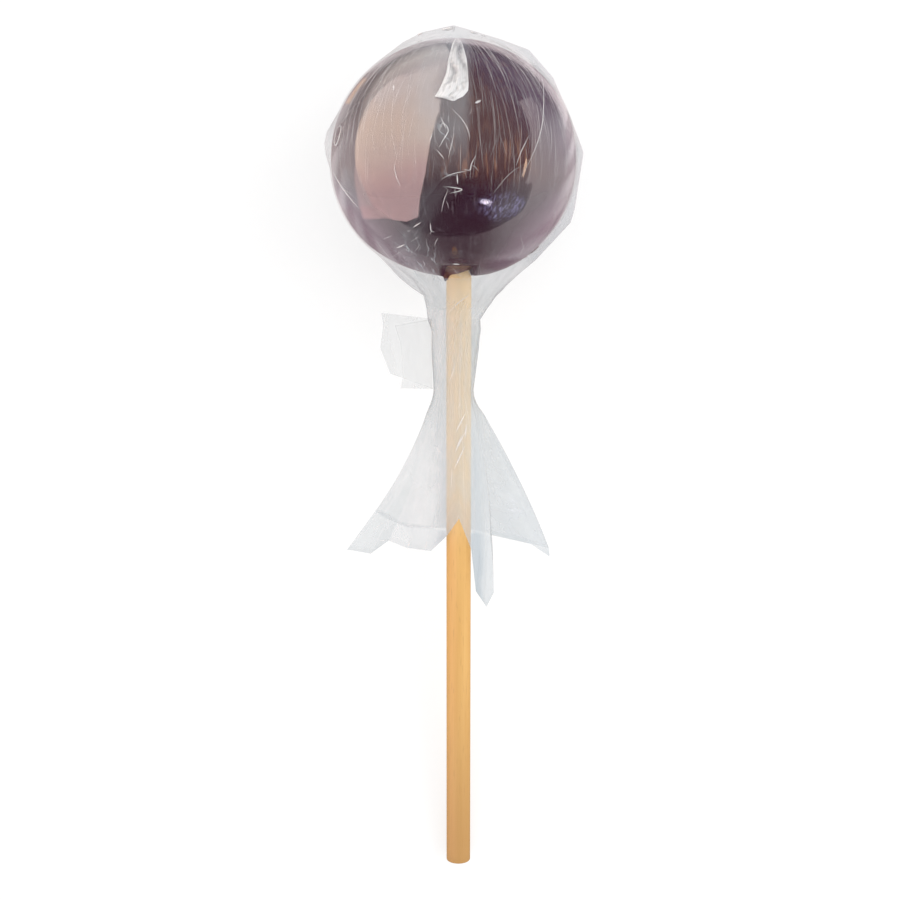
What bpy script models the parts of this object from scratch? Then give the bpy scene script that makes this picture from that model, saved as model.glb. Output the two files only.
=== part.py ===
"""A giant ball lollipop, lying down: a boiled-sweet ball on a wooden stick, in clear film held by tape.

The pieces are modelled upright to themselves, in the lollipop's own frame: the origin is the ball's
centre, +Y runs out of the ball's crown, the stick runs down -Y, and +Z is the side that shows. An empty
then tips that frame, so that the ball and the stick's far end both touch the ground at Z = 0.
"""

import math

import bmesh
import bpy
from mathutils import Vector

MM = 0.001

# The ball: 3 inches across, a little flatter along the stick, and fuller towards the stick
BALL_RADIUS = 38.0 * MM
BALL_HALF_LENGTH = 36.1 * MM
BALL_FULLNESS = 0.015
BALL_SEGMENTS = 48
BALL_RINGS = 24

# The stick: a 5/16 inch dowel, set a little off the ball's centre line
STICK_RADIUS = 3.95 * MM
STICK_X = 1.7 * MM
STICK_END = -232.0 * MM
STICK_EMBEDDED = 26.0 * MM
STICK_BEVEL = 0.25 * MM
STICK_SEGMENTS = 32

# The lip of sugar that climbs the stick where the ball was poured round it
COLLAR_RADIUS = 5.3 * MM
COLLAR_DROP = 1.6 * MM
COLLAR_LEAN = math.radians(14)
COLLAR_BEVEL = 0.8 * MM

# What keeps neighbours apart, and the walls of the film and the tape
GAP = 0.3 * MM
FILM_WALL = 0.45 * MM
TAPE_WALL = 0.35 * MM

# The film over the ball: flat facets that touch the ball in the middle and stand off it at their edges,
# and one that the ball's weight presses flat on the ground
FILM_CLEAR = 0.55 * MM
REST_PRESS = 0.15 * MM
REST_PATCH = math.radians(10.5)
FACETS = 60
FACET_BELT = math.radians(17)
FACET_ROUNDING = 50
HOOD_RINGS = 15
HOOD_END = math.radians(140)
FILM_COLUMNS = 48

# The facets' corners seen from +Z: clockwise angle from the crown, and distance from the ball's centre
BELT_CORNERS = [
    (0, 40.0), (35, 40.8), (62, 39.9), (89, 41.3), (119, 42.0), (150, 42.2), (180, 40.0),
    (212, 41.0), (238, 40.0), (268, 40.9), (300, 39.5), (330, 39.3),
]  # degrees, mm

# The funnel and the neck, where the film is gathered round the stick, mostly on its left
FUNNEL_RINGS = 5
FUNNEL_CURVE = 1.2
NECK_TOP = -50.0 * MM
NECK_FOOT = -73.0 * MM
NECK_RINGS = 3
NECK_SLACK = 0.15 * MM
NECK_FLARE = 0.25
NECK_GATHER = 3.0 * MM

# The skirt below the neck. Its hem is the edge of a square sheet, so it comes down in points:
# x from the stick's axis, z from it (None lies on the ground), and y, in mm, going round over the left
SKIRT_RINGS = 9
SKIRT_CURL = 0.25
HEM_LIFT = 0.25 * MM
HEM_CORNERS = [
    (0.0, 5.6, -114.7), (-5.0, 4.9, -124.6), (-13.0, 0.5, -125.5), (-22.6, -8.0, -122.1),
    (-36.3, None, -125.5), (-27.0, None, -112.2), (-14.5, -13.0, -118.0), (-5.0, -8.5, -117.5),
    (3.0, -7.8, -117.0), (13.0, -14.0, -121.0), (29.5, None, -127.1), (18.5, -9.5, -121.7),
    (10.2, -3.5, -119.7), (11.6, -2.0, -139.4), (8.6, 0.5, -144.1), (4.9, 3.4, -128.0),
]

# The tape: 3/4 inch wide, once round the neck with a little slip, so that its two ends, stuck together
# into a flag on the left, don't quite match. The torn ends are x in mm, from the crown side down
TAPE_WIDTH = 19.0 * MM
TAPE_TOP = -50.2 * MM
TAPE_SLIP = 3.2 * MM
TAPE_STEPS = 30
TAPE_CLEAR = 0.4 * MM
TAPE_LEAVES_AT = math.radians(72)
FLAG_HALF_GAP = 0.35 * MM
FLAG_ROOT = 2.0 * MM
FLAG_RISE = 1.6 * MM
FLAG_ENDS = [(-23.0, -18.4), (-22.5, -16.3), (-23.2, -16.4), (-20.4, -16.9)]


def ground_height():
    """How high the ball's centre stands: its film is pressed flat under it."""
    return BALL_RADIUS + FILM_CLEAR + FILM_WALL - REST_PRESS


def lie_angle():
    """The tilt at which the stick's far end comes down to the ground."""
    reach = math.hypot(STICK_END, STICK_RADIUS)
    return math.asin(ground_height() / reach) - math.atan2(STICK_RADIUS, -STICK_END)


def ground_z(y):
    """The ground's Z in the lollipop's own frame, at a place along the stick."""
    tilt = lie_angle()
    return -(ground_height() + y * math.sin(tilt)) / math.cos(tilt)


def make_material(name, colour, roughness, alpha=1.0):
    material = bpy.data.materials.new(name)
    material.use_nodes = True
    shader = material.node_tree.nodes["Principled BSDF"]
    shader.inputs["Base Color"].default_value = (*colour, 1.0)
    shader.inputs["Roughness"].default_value = roughness
    shader.inputs["Metallic"].default_value = 0.0
    shader.inputs["Alpha"].default_value = alpha
    return material


def add_object(name, bm, material, parent):
    bmesh.ops.recalc_face_normals(bm, faces=bm.faces)
    mesh = bpy.data.meshes.new(name)
    bm.to_mesh(mesh)
    bm.free()
    mesh.shade_smooth()
    mesh.set_sharp_from_angle(angle=math.radians(40))
    piece = bpy.data.objects.new(name, mesh)
    bpy.context.collection.objects.link(piece)
    piece.parent = parent
    if material:
        mesh.materials.append(material)
    return piece


def grid_surface(rows, closed_round=True, crown=None, foot=None):
    """A surface through rows of points, rings or open strips, with a pole at either end if one is given."""
    bm = bmesh.new()
    made = [[bm.verts.new(point) for point in row] for row in rows]
    columns = len(made[0])
    steps = range(columns if closed_round else columns - 1)
    for upper, lower in zip(made, made[1:]):
        for j in steps:
            k = (j + 1) % columns
            bm.faces.new((upper[j], upper[k], lower[k], lower[j]))
    for place, ring in ((crown, made[0]), (foot, made[-1])):
        if place is not None:
            pole = bm.verts.new(place)
            for j in steps:
                bm.faces.new((pole, ring[j], ring[(j + 1) % columns]))
    return bm


def make_turned(radius, y_top, y_foot, bevel, segments):
    """A solid rod along Y with both ends' edges bevelled."""
    bm = bmesh.new()
    bmesh.ops.create_cone(
        bm, cap_ends=True, segments=segments, radius1=radius, radius2=radius, depth=y_top - y_foot
    )
    rims = [e for e in bm.edges if abs(e.verts[0].co.z - e.verts[1].co.z) < bevel]
    if bevel:
        bmesh.ops.bevel(bm, geom=rims, offset=bevel, segments=2, profile=0.5, affect="EDGES")
    for vert in bm.verts:
        vert.co = (vert.co.x, vert.co.z + (y_top + y_foot) / 2, -vert.co.y)
    return bm


def ball_radius(polar):
    """The ball's surface distance from its centre, at an angle from the crown."""
    even = math.hypot(math.sin(polar) / BALL_RADIUS, math.cos(polar) / BALL_HALF_LENGTH)
    fuller = BALL_FULLNESS * max(0.0, -math.sin(2 * polar))
    return (1 + fuller) / even


def on_sphere(polar, turn):
    """A unit direction: an angle from the crown, then a turn from the top over the left."""
    return Vector((-math.sin(polar) * math.sin(turn), math.cos(polar), math.sin(polar) * math.cos(turn)))


def stick_top():
    return -BALL_HALF_LENGTH + STICK_EMBEDDED


def make_candy(parent):
    rows = []
    for i in range(1, BALL_RINGS):
        polar = math.pi * i / BALL_RINGS
        turns = [2 * math.pi * j / BALL_SEGMENTS for j in range(BALL_SEGMENTS)]
        rows.append([on_sphere(polar, turn) * ball_radius(polar) for turn in turns])
    bm = grid_surface(rows, crown=(0, BALL_HALF_LENGTH, 0), foot=(0, -BALL_HALF_LENGTH, 0))
    sugar = make_material("boiled_sweet", (0.070, 0.026, 0.060), 0.12)
    candy = add_object("candy", bm, sugar, parent)

    root, foot = -BALL_HALF_LENGTH / 2, -BALL_HALF_LENGTH - COLLAR_DROP
    lip = make_turned(COLLAR_RADIUS, root, foot, COLLAR_BEVEL, STICK_SEGMENTS)
    for vert in lip.verts:
        if vert.co.y < (root + foot) / 2:
            vert.co.y += vert.co.x * math.tan(COLLAR_LEAN)
    collar = add_object("collar_tool", lip, None, parent)
    socket = make_turned(STICK_RADIUS + GAP, stick_top() + GAP, 1.5 * foot, 0, STICK_SEGMENTS)
    bore = add_object("bore_tool", socket, None, parent)
    for tool, operation in ((collar, "UNION"), (bore, "DIFFERENCE")):
        tool.location.x = STICK_X
        tool.hide_render = True
        tool.display_type = "WIRE"
        cut = candy.modifiers.new(operation.title(), "BOOLEAN")
        cut.operation = operation
        cut.solver = "EXACT"
        cut.object = tool
    return candy


def make_stick(parent):
    bm = make_turned(STICK_RADIUS, stick_top(), STICK_END, STICK_BEVEL, STICK_SEGMENTS)
    stick = add_object("stick", bm, make_material("birch", (0.80, 0.50, 0.23), 0.55), parent)
    stick.location.x = STICK_X
    return stick


def belt_facets():
    """The facets seen edge on from above, as pairs of a unit normal and a distance."""
    corners = [
        Vector((r * math.sin(math.radians(a)), r * math.cos(math.radians(a)), 0)) * MM
        for a, r in BELT_CORNERS
    ]
    facets = []
    for here, there in zip(corners, corners[1:] + corners[:1]):
        along = (there - here).normalized()
        normal = Vector((-along.y, along.x, 0))
        distance = normal.dot(here)
        facets.append((normal if distance > 0 else -normal, abs(distance)))
    return facets


def cap_facets():
    """The other facets, spread evenly over the sphere by the golden angle and touching the ball."""
    facets = []
    for k in range(FACETS):
        z = 1 - (2 * k + 1) / FACETS
        turn = k * math.pi * (3 - math.sqrt(5))
        ring = math.sqrt(1 - z * z)
        normal = Vector((ring * math.sin(turn), ring * math.cos(turn), z))
        if abs(z) > math.sin(FACET_BELT):
            touch = ball_radius(math.acos(normal.y)) + FILM_CLEAR + FILM_WALL
            facets.append((normal, touch))
    return facets


def film_radius(direction, facets):
    """The film's distance from the ball's centre: the nearest facet, with the edges a little rounded."""
    tilt = lie_angle()
    downward = direction.dot(Vector((0, -math.sin(tilt), -math.cos(tilt))))
    if downward > math.cos(REST_PATCH):
        return ground_height() / downward
    total = 0.0
    for normal, distance in facets:
        facing = normal.dot(direction)
        if facing > 0.3:
            total += (facing / distance) ** FACET_ROUNDING
    around = total ** (-1 / FACET_ROUNDING)
    return max(around, ball_radius(math.acos(direction.y)) + FILM_CLEAR + FILM_WALL)


def turn_of(column):
    """A column's angle round the stick: from the top, over the left, under and up the right."""
    return 2 * math.pi * column / FILM_COLUMNS


def neck_point(turn, y):
    """The film's place at the neck: close round the stick, gathered on the left, wider at the top."""
    gather = NECK_GATHER * max(0.0, math.sin(turn)) ** 1.5
    down = min(1.0, max(0.0, (NECK_TOP - y) / (NECK_TOP - NECK_FOOT)))
    radius = STICK_RADIUS + GAP + FILM_WALL + NECK_SLACK + gather
    radius *= 1 + NECK_FLARE * (1 - down) ** 2
    return Vector((STICK_X - radius * math.sin(turn), y, radius * math.cos(turn)))


def hem_point(column):
    """The hem's place at a column, on the straight edges between its corners."""
    step = column * len(HEM_CORNERS) / FILM_COLUMNS
    corner = int(step)
    ends = []
    for x, z, y in (HEM_CORNERS[corner], HEM_CORNERS[(corner + 1) % len(HEM_CORNERS)]):
        height = ground_z(y * MM) + HEM_LIFT if z is None else z * MM
        ends.append(Vector((STICK_X + x * MM, y * MM, height)))
    return ends[0].lerp(ends[1], step - corner)


def make_wrapper(parent):
    facets = belt_facets() + cap_facets()
    rows = []
    for i in range(1, HOOD_RINGS + 1):
        polar = HOOD_END * i / HOOD_RINGS
        directions = [on_sphere(polar, turn_of(j)) for j in range(FILM_COLUMNS)]
        rows.append([direction * film_radius(direction, facets) for direction in directions])
    hood_edge = rows[-1]
    for i in range(1, FUNNEL_RINGS + 1):
        t = i / FUNNEL_RINGS
        inward = 1 - (1 - t) ** FUNNEL_CURVE
        row = []
        for j, edge in enumerate(hood_edge):
            neck = neck_point(turn_of(j), NECK_TOP)
            point = edge.lerp(neck, inward)
            point.y = edge.y + (neck.y - edge.y) * t
            row.append(point)
        rows.append(row)
    for i in range(1, NECK_RINGS + 1):
        y = NECK_TOP + (NECK_FOOT - NECK_TOP) * i / NECK_RINGS
        rows.append([neck_point(turn_of(j), y) for j in range(FILM_COLUMNS)])
    neck_edge = rows[-1]
    for i in range(1, SKIRT_RINGS + 1):
        t = i / SKIRT_RINGS
        outward = (1 - SKIRT_CURL) * t + SKIRT_CURL * t * t
        row = []
        for j, edge in enumerate(neck_edge):
            hem = hem_point(j)
            point = edge.lerp(hem, outward)
            point.y = edge.y + (hem.y - edge.y) * t
            row.append(point)
        rows.append(row)
    for row in rows[: HOOD_RINGS + FUNNEL_RINGS]:
        for point in row:
            point.z = max(point.z, ground_z(point.y))
    bm = grid_surface(rows, crown=(0, film_radius(Vector((0, 1, 0)), facets), 0))
    film = make_material("clear_film", (0.84, 0.87, 0.89), 0.08, alpha=0.3)
    wrapper = add_object("wrapper", bm, film, parent)
    wall = wrapper.modifiers.new("Wall", "SOLIDIFY")
    wall.thickness = FILM_WALL
    wall.offset = -1.0
    return wrapper


def make_tape(parent):
    sweep = math.pi + 2 * TAPE_LEAVES_AT
    lines = []
    for row, (front_end, back_end) in enumerate(FLAG_ENDS):
        band = []
        for k in range(TAPE_STEPS + 1):
            share = k / TAPE_STEPS
            y = TAPE_TOP - TAPE_SLIP * share - TAPE_WIDTH * row / (len(FLAG_ENDS) - 1)
            place = neck_point(TAPE_LEAVES_AT - sweep * share, y)
            out = Vector((place.x - STICK_X, 0, place.z)).normalized()
            band.append(place + out * (TAPE_CLEAR + TAPE_WALL))
        lift = FLAG_HALF_GAP + TAPE_WALL
        front_root = Vector((band[0].x - FLAG_ROOT, band[0].y, lift))
        front = Vector((front_end * MM, band[0].y + FLAG_RISE, lift))
        back_root = Vector((band[-1].x - FLAG_ROOT, band[-1].y, -lift))
        back = Vector((back_end * MM, band[-1].y, -lift))
        lines.append([front, front_root, *band, back_root, back])
    bm = grid_surface(lines, closed_round=False)
    clear = make_material("clear_tape", (0.88, 0.89, 0.90), 0.15, alpha=0.35)
    tape = add_object("tape", bm, clear, parent)
    wall = tape.modifiers.new("Wall", "SOLIDIFY")
    wall.thickness = TAPE_WALL
    wall.offset = -1.0
    return tape


def centre_on_origin(frame, pieces):
    """Moves the frame so that the middle of the whole lollipop's footprint is at the origin."""
    graph = bpy.context.evaluated_depsgraph_get()
    graph.update()
    corners = []
    for piece in pieces:
        seen = piece.evaluated_get(graph)
        corners += [seen.matrix_world @ vert.co for vert in seen.data.vertices]
    frame.location.x -= (min(c.x for c in corners) + max(c.x for c in corners)) / 2
    frame.location.y -= (min(c.y for c in corners) + max(c.y for c in corners)) / 2


def build():
    for old in list(bpy.data.objects):
        bpy.data.objects.remove(old, do_unlink=True)
    frame = bpy.data.objects.new("lollipop_frame", None)
    bpy.context.collection.objects.link(frame)
    frame.rotation_euler.x = lie_angle()
    frame.location.z = ground_height()
    pieces = [make_candy(frame), make_stick(frame), make_wrapper(frame), make_tape(frame)]
    bpy.context.view_layer.update()
    centre_on_origin(frame, pieces)


build()
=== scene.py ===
"""A giant ball lollipop, lying down: a boiled-sweet ball on a birch stick, in clear film held by tape.

Each section makes one piece. Every piece is shaped in the lollipop's own frame, where the origin is the
ball's centre, +Y runs out of its crown, the stick runs down -Y and +Z is the side that shows. It is then
laid down, as a mesh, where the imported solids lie.
"""

import math

import bpy
import numpy as np
from mathutils import Matrix, Vector
from mathutils.kdtree import KDTree


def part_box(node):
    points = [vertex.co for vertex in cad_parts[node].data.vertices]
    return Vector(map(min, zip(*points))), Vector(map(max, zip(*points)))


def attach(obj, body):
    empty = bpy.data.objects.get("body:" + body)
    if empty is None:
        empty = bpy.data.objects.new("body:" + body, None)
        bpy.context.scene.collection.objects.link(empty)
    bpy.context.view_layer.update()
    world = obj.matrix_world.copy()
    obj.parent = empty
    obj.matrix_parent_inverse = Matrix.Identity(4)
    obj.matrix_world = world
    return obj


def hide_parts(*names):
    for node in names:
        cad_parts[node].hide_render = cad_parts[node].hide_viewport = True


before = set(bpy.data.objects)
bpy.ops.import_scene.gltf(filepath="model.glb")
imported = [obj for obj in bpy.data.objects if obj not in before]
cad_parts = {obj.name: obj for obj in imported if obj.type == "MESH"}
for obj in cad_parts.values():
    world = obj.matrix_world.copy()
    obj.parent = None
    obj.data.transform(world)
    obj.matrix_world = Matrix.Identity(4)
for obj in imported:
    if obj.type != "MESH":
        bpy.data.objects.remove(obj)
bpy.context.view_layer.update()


# ---- How it lies -------------------------------------------------------------------------------
# The lollipop can't stand, so it lies on its ball and on the far end of its stick. The lean and the
# ball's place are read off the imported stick, which is a plain rod set a little off the ball's middle.

MM = 0.001
STICK_X = 1.7 * MM
STICK_TOP = -10.1 * MM
STICK_END = -232.0 * MM

stick_low, stick_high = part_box("stick")
stick_size = stick_high - stick_low
STICK_RADIUS = stick_size.x / 2
# The rod's own thickness is in its box too, so the lean is closed in on step by step
lean = 0.0
for _ in range(20):
    lean = math.atan2(
        stick_size.z - stick_size.x * math.cos(lean),
        stick_size.y - stick_size.x * math.sin(lean),
    )
lie = Matrix.Rotation(lean, 4, "X")
stick_middle = Vector((STICK_X, (STICK_TOP + STICK_END) / 2, 0))
lie.translation = (stick_low + stick_high) / 2 - lie @ stick_middle


# ---- The ball of boiled sugar ------------------------------------------------------------------
# The ball is dark boiled sugar, poured in a two-part mould round the stick, so it is smooth and hard and
# a little flatter along the stick. Where the stick goes in, the shown side is drawn back behind a rolled
# edge, and on the left a drip ran down the wood. The mould's seam left some ragged nibs.

candy_low, candy_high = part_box("candy")
BALL_RADIUS = (candy_high.x - candy_low.x) / 2
BALL_HALF_LENGTH = 0.95 * BALL_RADIUS
BALL_FULLNESS = 0.015
BALL_COLUMNS = 192
BALL_ROWS = 128
LIP_RADIUS = 4.9 * MM
LIP_DROP = 0.2 * MM
LIP_LEAN = math.radians(7)
LIP_ROUNDING = 0.6 * MM
LIP_ROWS = 10
LIP_RUN = 0.8 * MM
DRAWN_BACK = -32.5 * MM
ROLL_PLACE = -31.6 * MM
ROLL_HEIGHT = 0.6 * MM
ROLL_WIDTH = 1.1 * MM
ROLL_REACH = 5.0 * MM
SOCKET_GAP = 0.04 * MM
SOCKET_DEPTH = 12.0 * MM


def ball_radius(polar):
    """The ball's surface distance from its centre, at an angle from the crown."""
    even = np.hypot(np.sin(polar) / BALL_RADIUS, np.cos(polar) / BALL_HALF_LENGTH)
    return (1 + BALL_FULLNESS * np.maximum(0.0, -np.sin(2 * polar))) / even


def directions(polar, turn):
    """Unit directions: an angle from the crown, then a turn from the top over the left."""
    return np.stack(
        [-np.sin(polar) * np.sin(turn), np.cos(polar) + 0 * turn, np.sin(polar) * np.cos(turn)], axis=-1
    )


def ease(value, low, high):
    """0 below low, 1 above high, and smooth between them."""
    share = np.clip((value - low) / (high - low), 0.0, 1.0)
    return share * share * (3 - 2 * share)


def ball_rows():
    """The ball's rows of points from the crown to the lip, and on up into the socket round the stick."""
    turn = np.arange(BALL_COLUMNS) * 2 * np.pi / BALL_COLUMNS
    last = np.pi - math.asin(1.35 * LIP_RADIUS / BALL_RADIUS)
    rows = []
    for i in range(1, BALL_ROWS + 1):
        polar = last * i / BALL_ROWS
        row = directions(polar, turn) * ball_radius(polar)
        across, along = row[:, 0] - STICK_X, row[:, 1] - ROLL_PLACE
        roll = np.exp(-((along / ROLL_WIDTH) ** 2 + (across / ROLL_REACH) ** 4))
        row *= 1 + (ROLL_HEIGHT / BALL_RADIUS * roll * (row[:, 2] > 0))[:, None]
        row[:, 0] += STICK_X * ease(polar, 0.75 * last, last)
        rows.append(row)
    edge = -rows[-1][0, 1]
    lip_foot = BALL_HALF_LENGTH + LIP_DROP
    profile = [(1.1 * LIP_RADIUS, edge + 0.1 * MM)]
    inner = LIP_RADIUS - LIP_ROUNDING
    for bend in np.linspace(0, math.pi / 2, LIP_ROWS + 1):
        drop = lip_foot - LIP_ROUNDING * (1 - math.sin(bend))
        profile.append((inner + LIP_ROUNDING * math.cos(bend), drop))
    socket = STICK_RADIUS + SOCKET_GAP
    profile += [(socket, lip_foot - 0.1 * MM), (socket, BALL_HALF_LENGTH - 4 * MM), (socket, SOCKET_DEPTH)]
    for radius, drop in profile:
        x = STICK_X - radius * np.sin(turn)
        hang = ease(drop, edge, lip_foot)
        run = LIP_RUN * hang * np.exp(-(((turn - 1.25) / 0.5) ** 2))
        y = -drop + (x - STICK_X) * math.tan(LIP_LEAN) * hang - run
        rows.append(np.stack([x, y, radius * np.cos(turn)], axis=-1))
    rows = np.array(rows)
    beside = ease(np.abs(rows[..., 0] - STICK_X), STICK_RADIUS - 0.3 * MM, STICK_RADIUS + 1.6 * MM)
    below = 1 - ease(rows[..., 2], 0, 3.6 * MM)
    limit = DRAWN_BACK - 6 * MM * np.maximum(beside, below)
    rows[..., 1] = np.where(rows[..., 2] > 0, np.maximum(rows[..., 1], limit), rows[..., 1])
    return rows


def sheet_mesh(rows, closed_round, crown=None, foot=None):
    """A mesh through an array of rows of points; crown and foot are poles that close its ends."""
    down, across = rows.shape[:2]
    points = [tuple(p) for p in rows.reshape(-1, 3)]
    faces = []
    for i in range(down - 1):
        for j in range(across if closed_round else across - 1):
            k = (j + 1) % across
            faces.append((i * across + j, (i + 1) * across + j, (i + 1) * across + k, i * across + k))
    for pole, row in ((crown, 0), (foot, down - 1)):
        if pole is None:
            continue
        points.append(tuple(pole))
        for j in range(across):
            rim = (row * across + j, row * across + (j + 1) % across)
            faces.append((len(points) - 1, *(rim if row == 0 else rim[::-1])))
    mesh = bpy.data.meshes.new("sheet")
    mesh.from_pydata(points, [], faces)
    return mesh


def add_node(tree, kind, inputs=(), **settings):
    """Adds a node to a tree; its inputs are sockets to link from, or plain values."""
    made = tree.nodes.new(kind)
    for name, value in settings.items():
        setattr(made, name, value)
    for key, value in dict(inputs).items():
        if isinstance(value, bpy.types.NodeSocket):
            tree.links.new(value, made.inputs[key])
        else:
            made.inputs[key].default_value = value
    return made


def sums(tree, operation, first, second=0.0, third=0.0, clamp=False):
    """One step of arithmetic in a tree."""
    inputs = {0: first, 1: second, 2: third}
    return add_node(tree, "ShaderNodeMath", inputs, operation=operation, use_clamp=clamp).outputs[0]


def product(tree, first, *others):
    """Values multiplied in a tree."""
    for other in others:
        first = sums(tree, "MULTIPLY", first, other)
    return first


def mottle(tree, places, scale, detail=2.0, roughness=0.5):
    """Cloudy noise between 0 and 1, with grains of about 1 / scale."""
    inputs = {"Vector": places, "Scale": scale, "Detail": detail, "Roughness": roughness}
    return add_node(tree, "ShaderNodeTexNoise", inputs).outputs[0]


def new_group(name, kind, inputs, outputs):
    """An empty group of nodes with named sockets, and the values that it is given."""
    tree = bpy.data.node_groups.new(name, kind)
    for sockets, way in ((inputs, "INPUT"), (outputs, "OUTPUT")):
        for socket, holds in sockets.items():
            tree.interface.new_socket(socket, in_out=way, socket_type="NodeSocket" + holds)
    return tree, tree.nodes.new("NodeGroupInput").outputs


def new_shape_tree(name, *sizes):
    """An empty tree of geometry nodes, given a geometry, some sizes and the finish for what comes out."""
    inputs = {"Geometry": "Geometry", **dict.fromkeys(sizes, "Float"), "Finish": "Material"}
    return new_group(name, "GeometryNodeTree", inputs, {"Geometry": "Geometry"})


def end_shape_tree(tree, given, shape):
    """Makes a shape real, gives it its finish and leads it out of the tree."""
    real = add_node(tree, "GeometryNodeRealizeInstances", {"Geometry": shape}).outputs[0]
    finished = add_node(tree, "GeometryNodeSetMaterial", {"Geometry": real, "Material": given["Finish"]})
    add_node(tree, "NodeGroupOutput", {"Geometry": finished.outputs[0]})
    return tree


def ripple_tree():
    """Geometry nodes for sugar that set a little unevenly: slow ripples all over, moved along the normal."""
    tree, given = new_shape_tree("sugar_ripples", "Depth", "Size")
    places = add_node(tree, "GeometryNodeInputPosition").outputs[0]
    fine = sums(tree, "DIVIDE", 1.0, given["Size"])
    swell = sums(tree, "SUBTRACT", mottle(tree, places, fine, 1.0), 0.5)
    normal = add_node(tree, "GeometryNodeInputNormal").outputs[0]
    inputs = {0: normal, "Scale": product(tree, swell, given["Depth"])}
    push = add_node(tree, "ShaderNodeVectorMath", inputs, operation="SCALE").outputs[0]
    moved = add_node(tree, "GeometryNodeSetPosition", {"Geometry": given["Geometry"], "Offset": push})
    return end_shape_tree(tree, given, moved.outputs[0])


def placed(name, data):
    """Puts a mesh, a lamp or a camera into the scene."""
    thing = bpy.data.objects.new(name, data)
    bpy.context.scene.collection.objects.link(thing)
    return thing


def shaped_by(tree, mesh, **sizes):
    """Puts a mesh through a tree of geometry nodes and gives the result as a plain mesh."""
    blank = placed("blank", mesh)
    modifier = blank.modifiers.new("shape", "NODES")
    modifier.node_group = tree
    for item in tree.interface.items_tree:
        if item.item_type == "SOCKET" and item.in_out == "INPUT" and item.name in sizes:
            modifier[item.identifier] = sizes[item.name]
    graph = bpy.context.evaluated_depsgraph_get()
    graph.update()
    made = bpy.data.meshes.new_from_object(
        blank.evaluated_get(graph), preserve_all_data_layers=True, depsgraph=graph
    )
    bpy.data.objects.remove(blank, do_unlink=True)
    return made


def total(tree, first, *others):
    """Values added up in a tree."""
    for other in others:
        first = sums(tree, "ADD", first, other)
    return first


def spread(tree, value, low, high, to_low=0.0, to_high=1.0):
    """Eases a value from one range to another, and holds it at the ends."""
    inputs = {"Value": value, "From Min": low, "From Max": high, "To Min": to_low, "To Max": to_high}
    return add_node(tree, "ShaderNodeMapRange", inputs, interpolation_type="SMOOTHSTEP").outputs[0]


def tint(tree, share, first, second, mode="MIX"):
    """Lays one colour over another."""
    inputs = {0: share, 6: first, 7: second}
    return add_node(tree, "ShaderNodeMix", inputs, data_type="RGBA", blend_type=mode).outputs[2]


def stretched(tree, places, x, y, z):
    """Scales places, so that a pattern made on them is drawn out."""
    return add_node(tree, "ShaderNodeMapping", {"Vector": places, "Scale": (x, y, z)}).outputs[0]


def raised(tree, height, strength, depth):
    """The surface's direction where a pattern raises it, by a depth at most."""
    inputs = {"Height": height, "Strength": strength, "Distance": depth}
    return add_node(tree, "ShaderNodeBump", inputs).outputs[0]


def own_places(tree):
    """Object coordinates turned back into the lollipop's own frame."""
    places = add_node(tree, "ShaderNodeTexCoord").outputs["Object"]
    inputs = {"Vector": places, "Location": tuple(lie.translation), "Rotation": (lean, 0.0, 0.0)}
    return add_node(tree, "ShaderNodeMapping", inputs, vector_type="TEXTURE").outputs[0]


def new_finish(name):
    """A material with an empty tree."""
    material = bpy.data.materials.new(name)
    material.use_nodes = True
    material.node_tree.nodes.clear()
    return material, material.node_tree


def end_finish(tree, inputs, kind="ShaderNodeBsdfPrincipled"):
    """Gives a material its shader, with these inputs, and leads it to the output."""
    shader = add_node(tree, kind, inputs)
    add_node(tree, "ShaderNodeOutputMaterial", {0: shader.outputs[0]})


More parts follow.
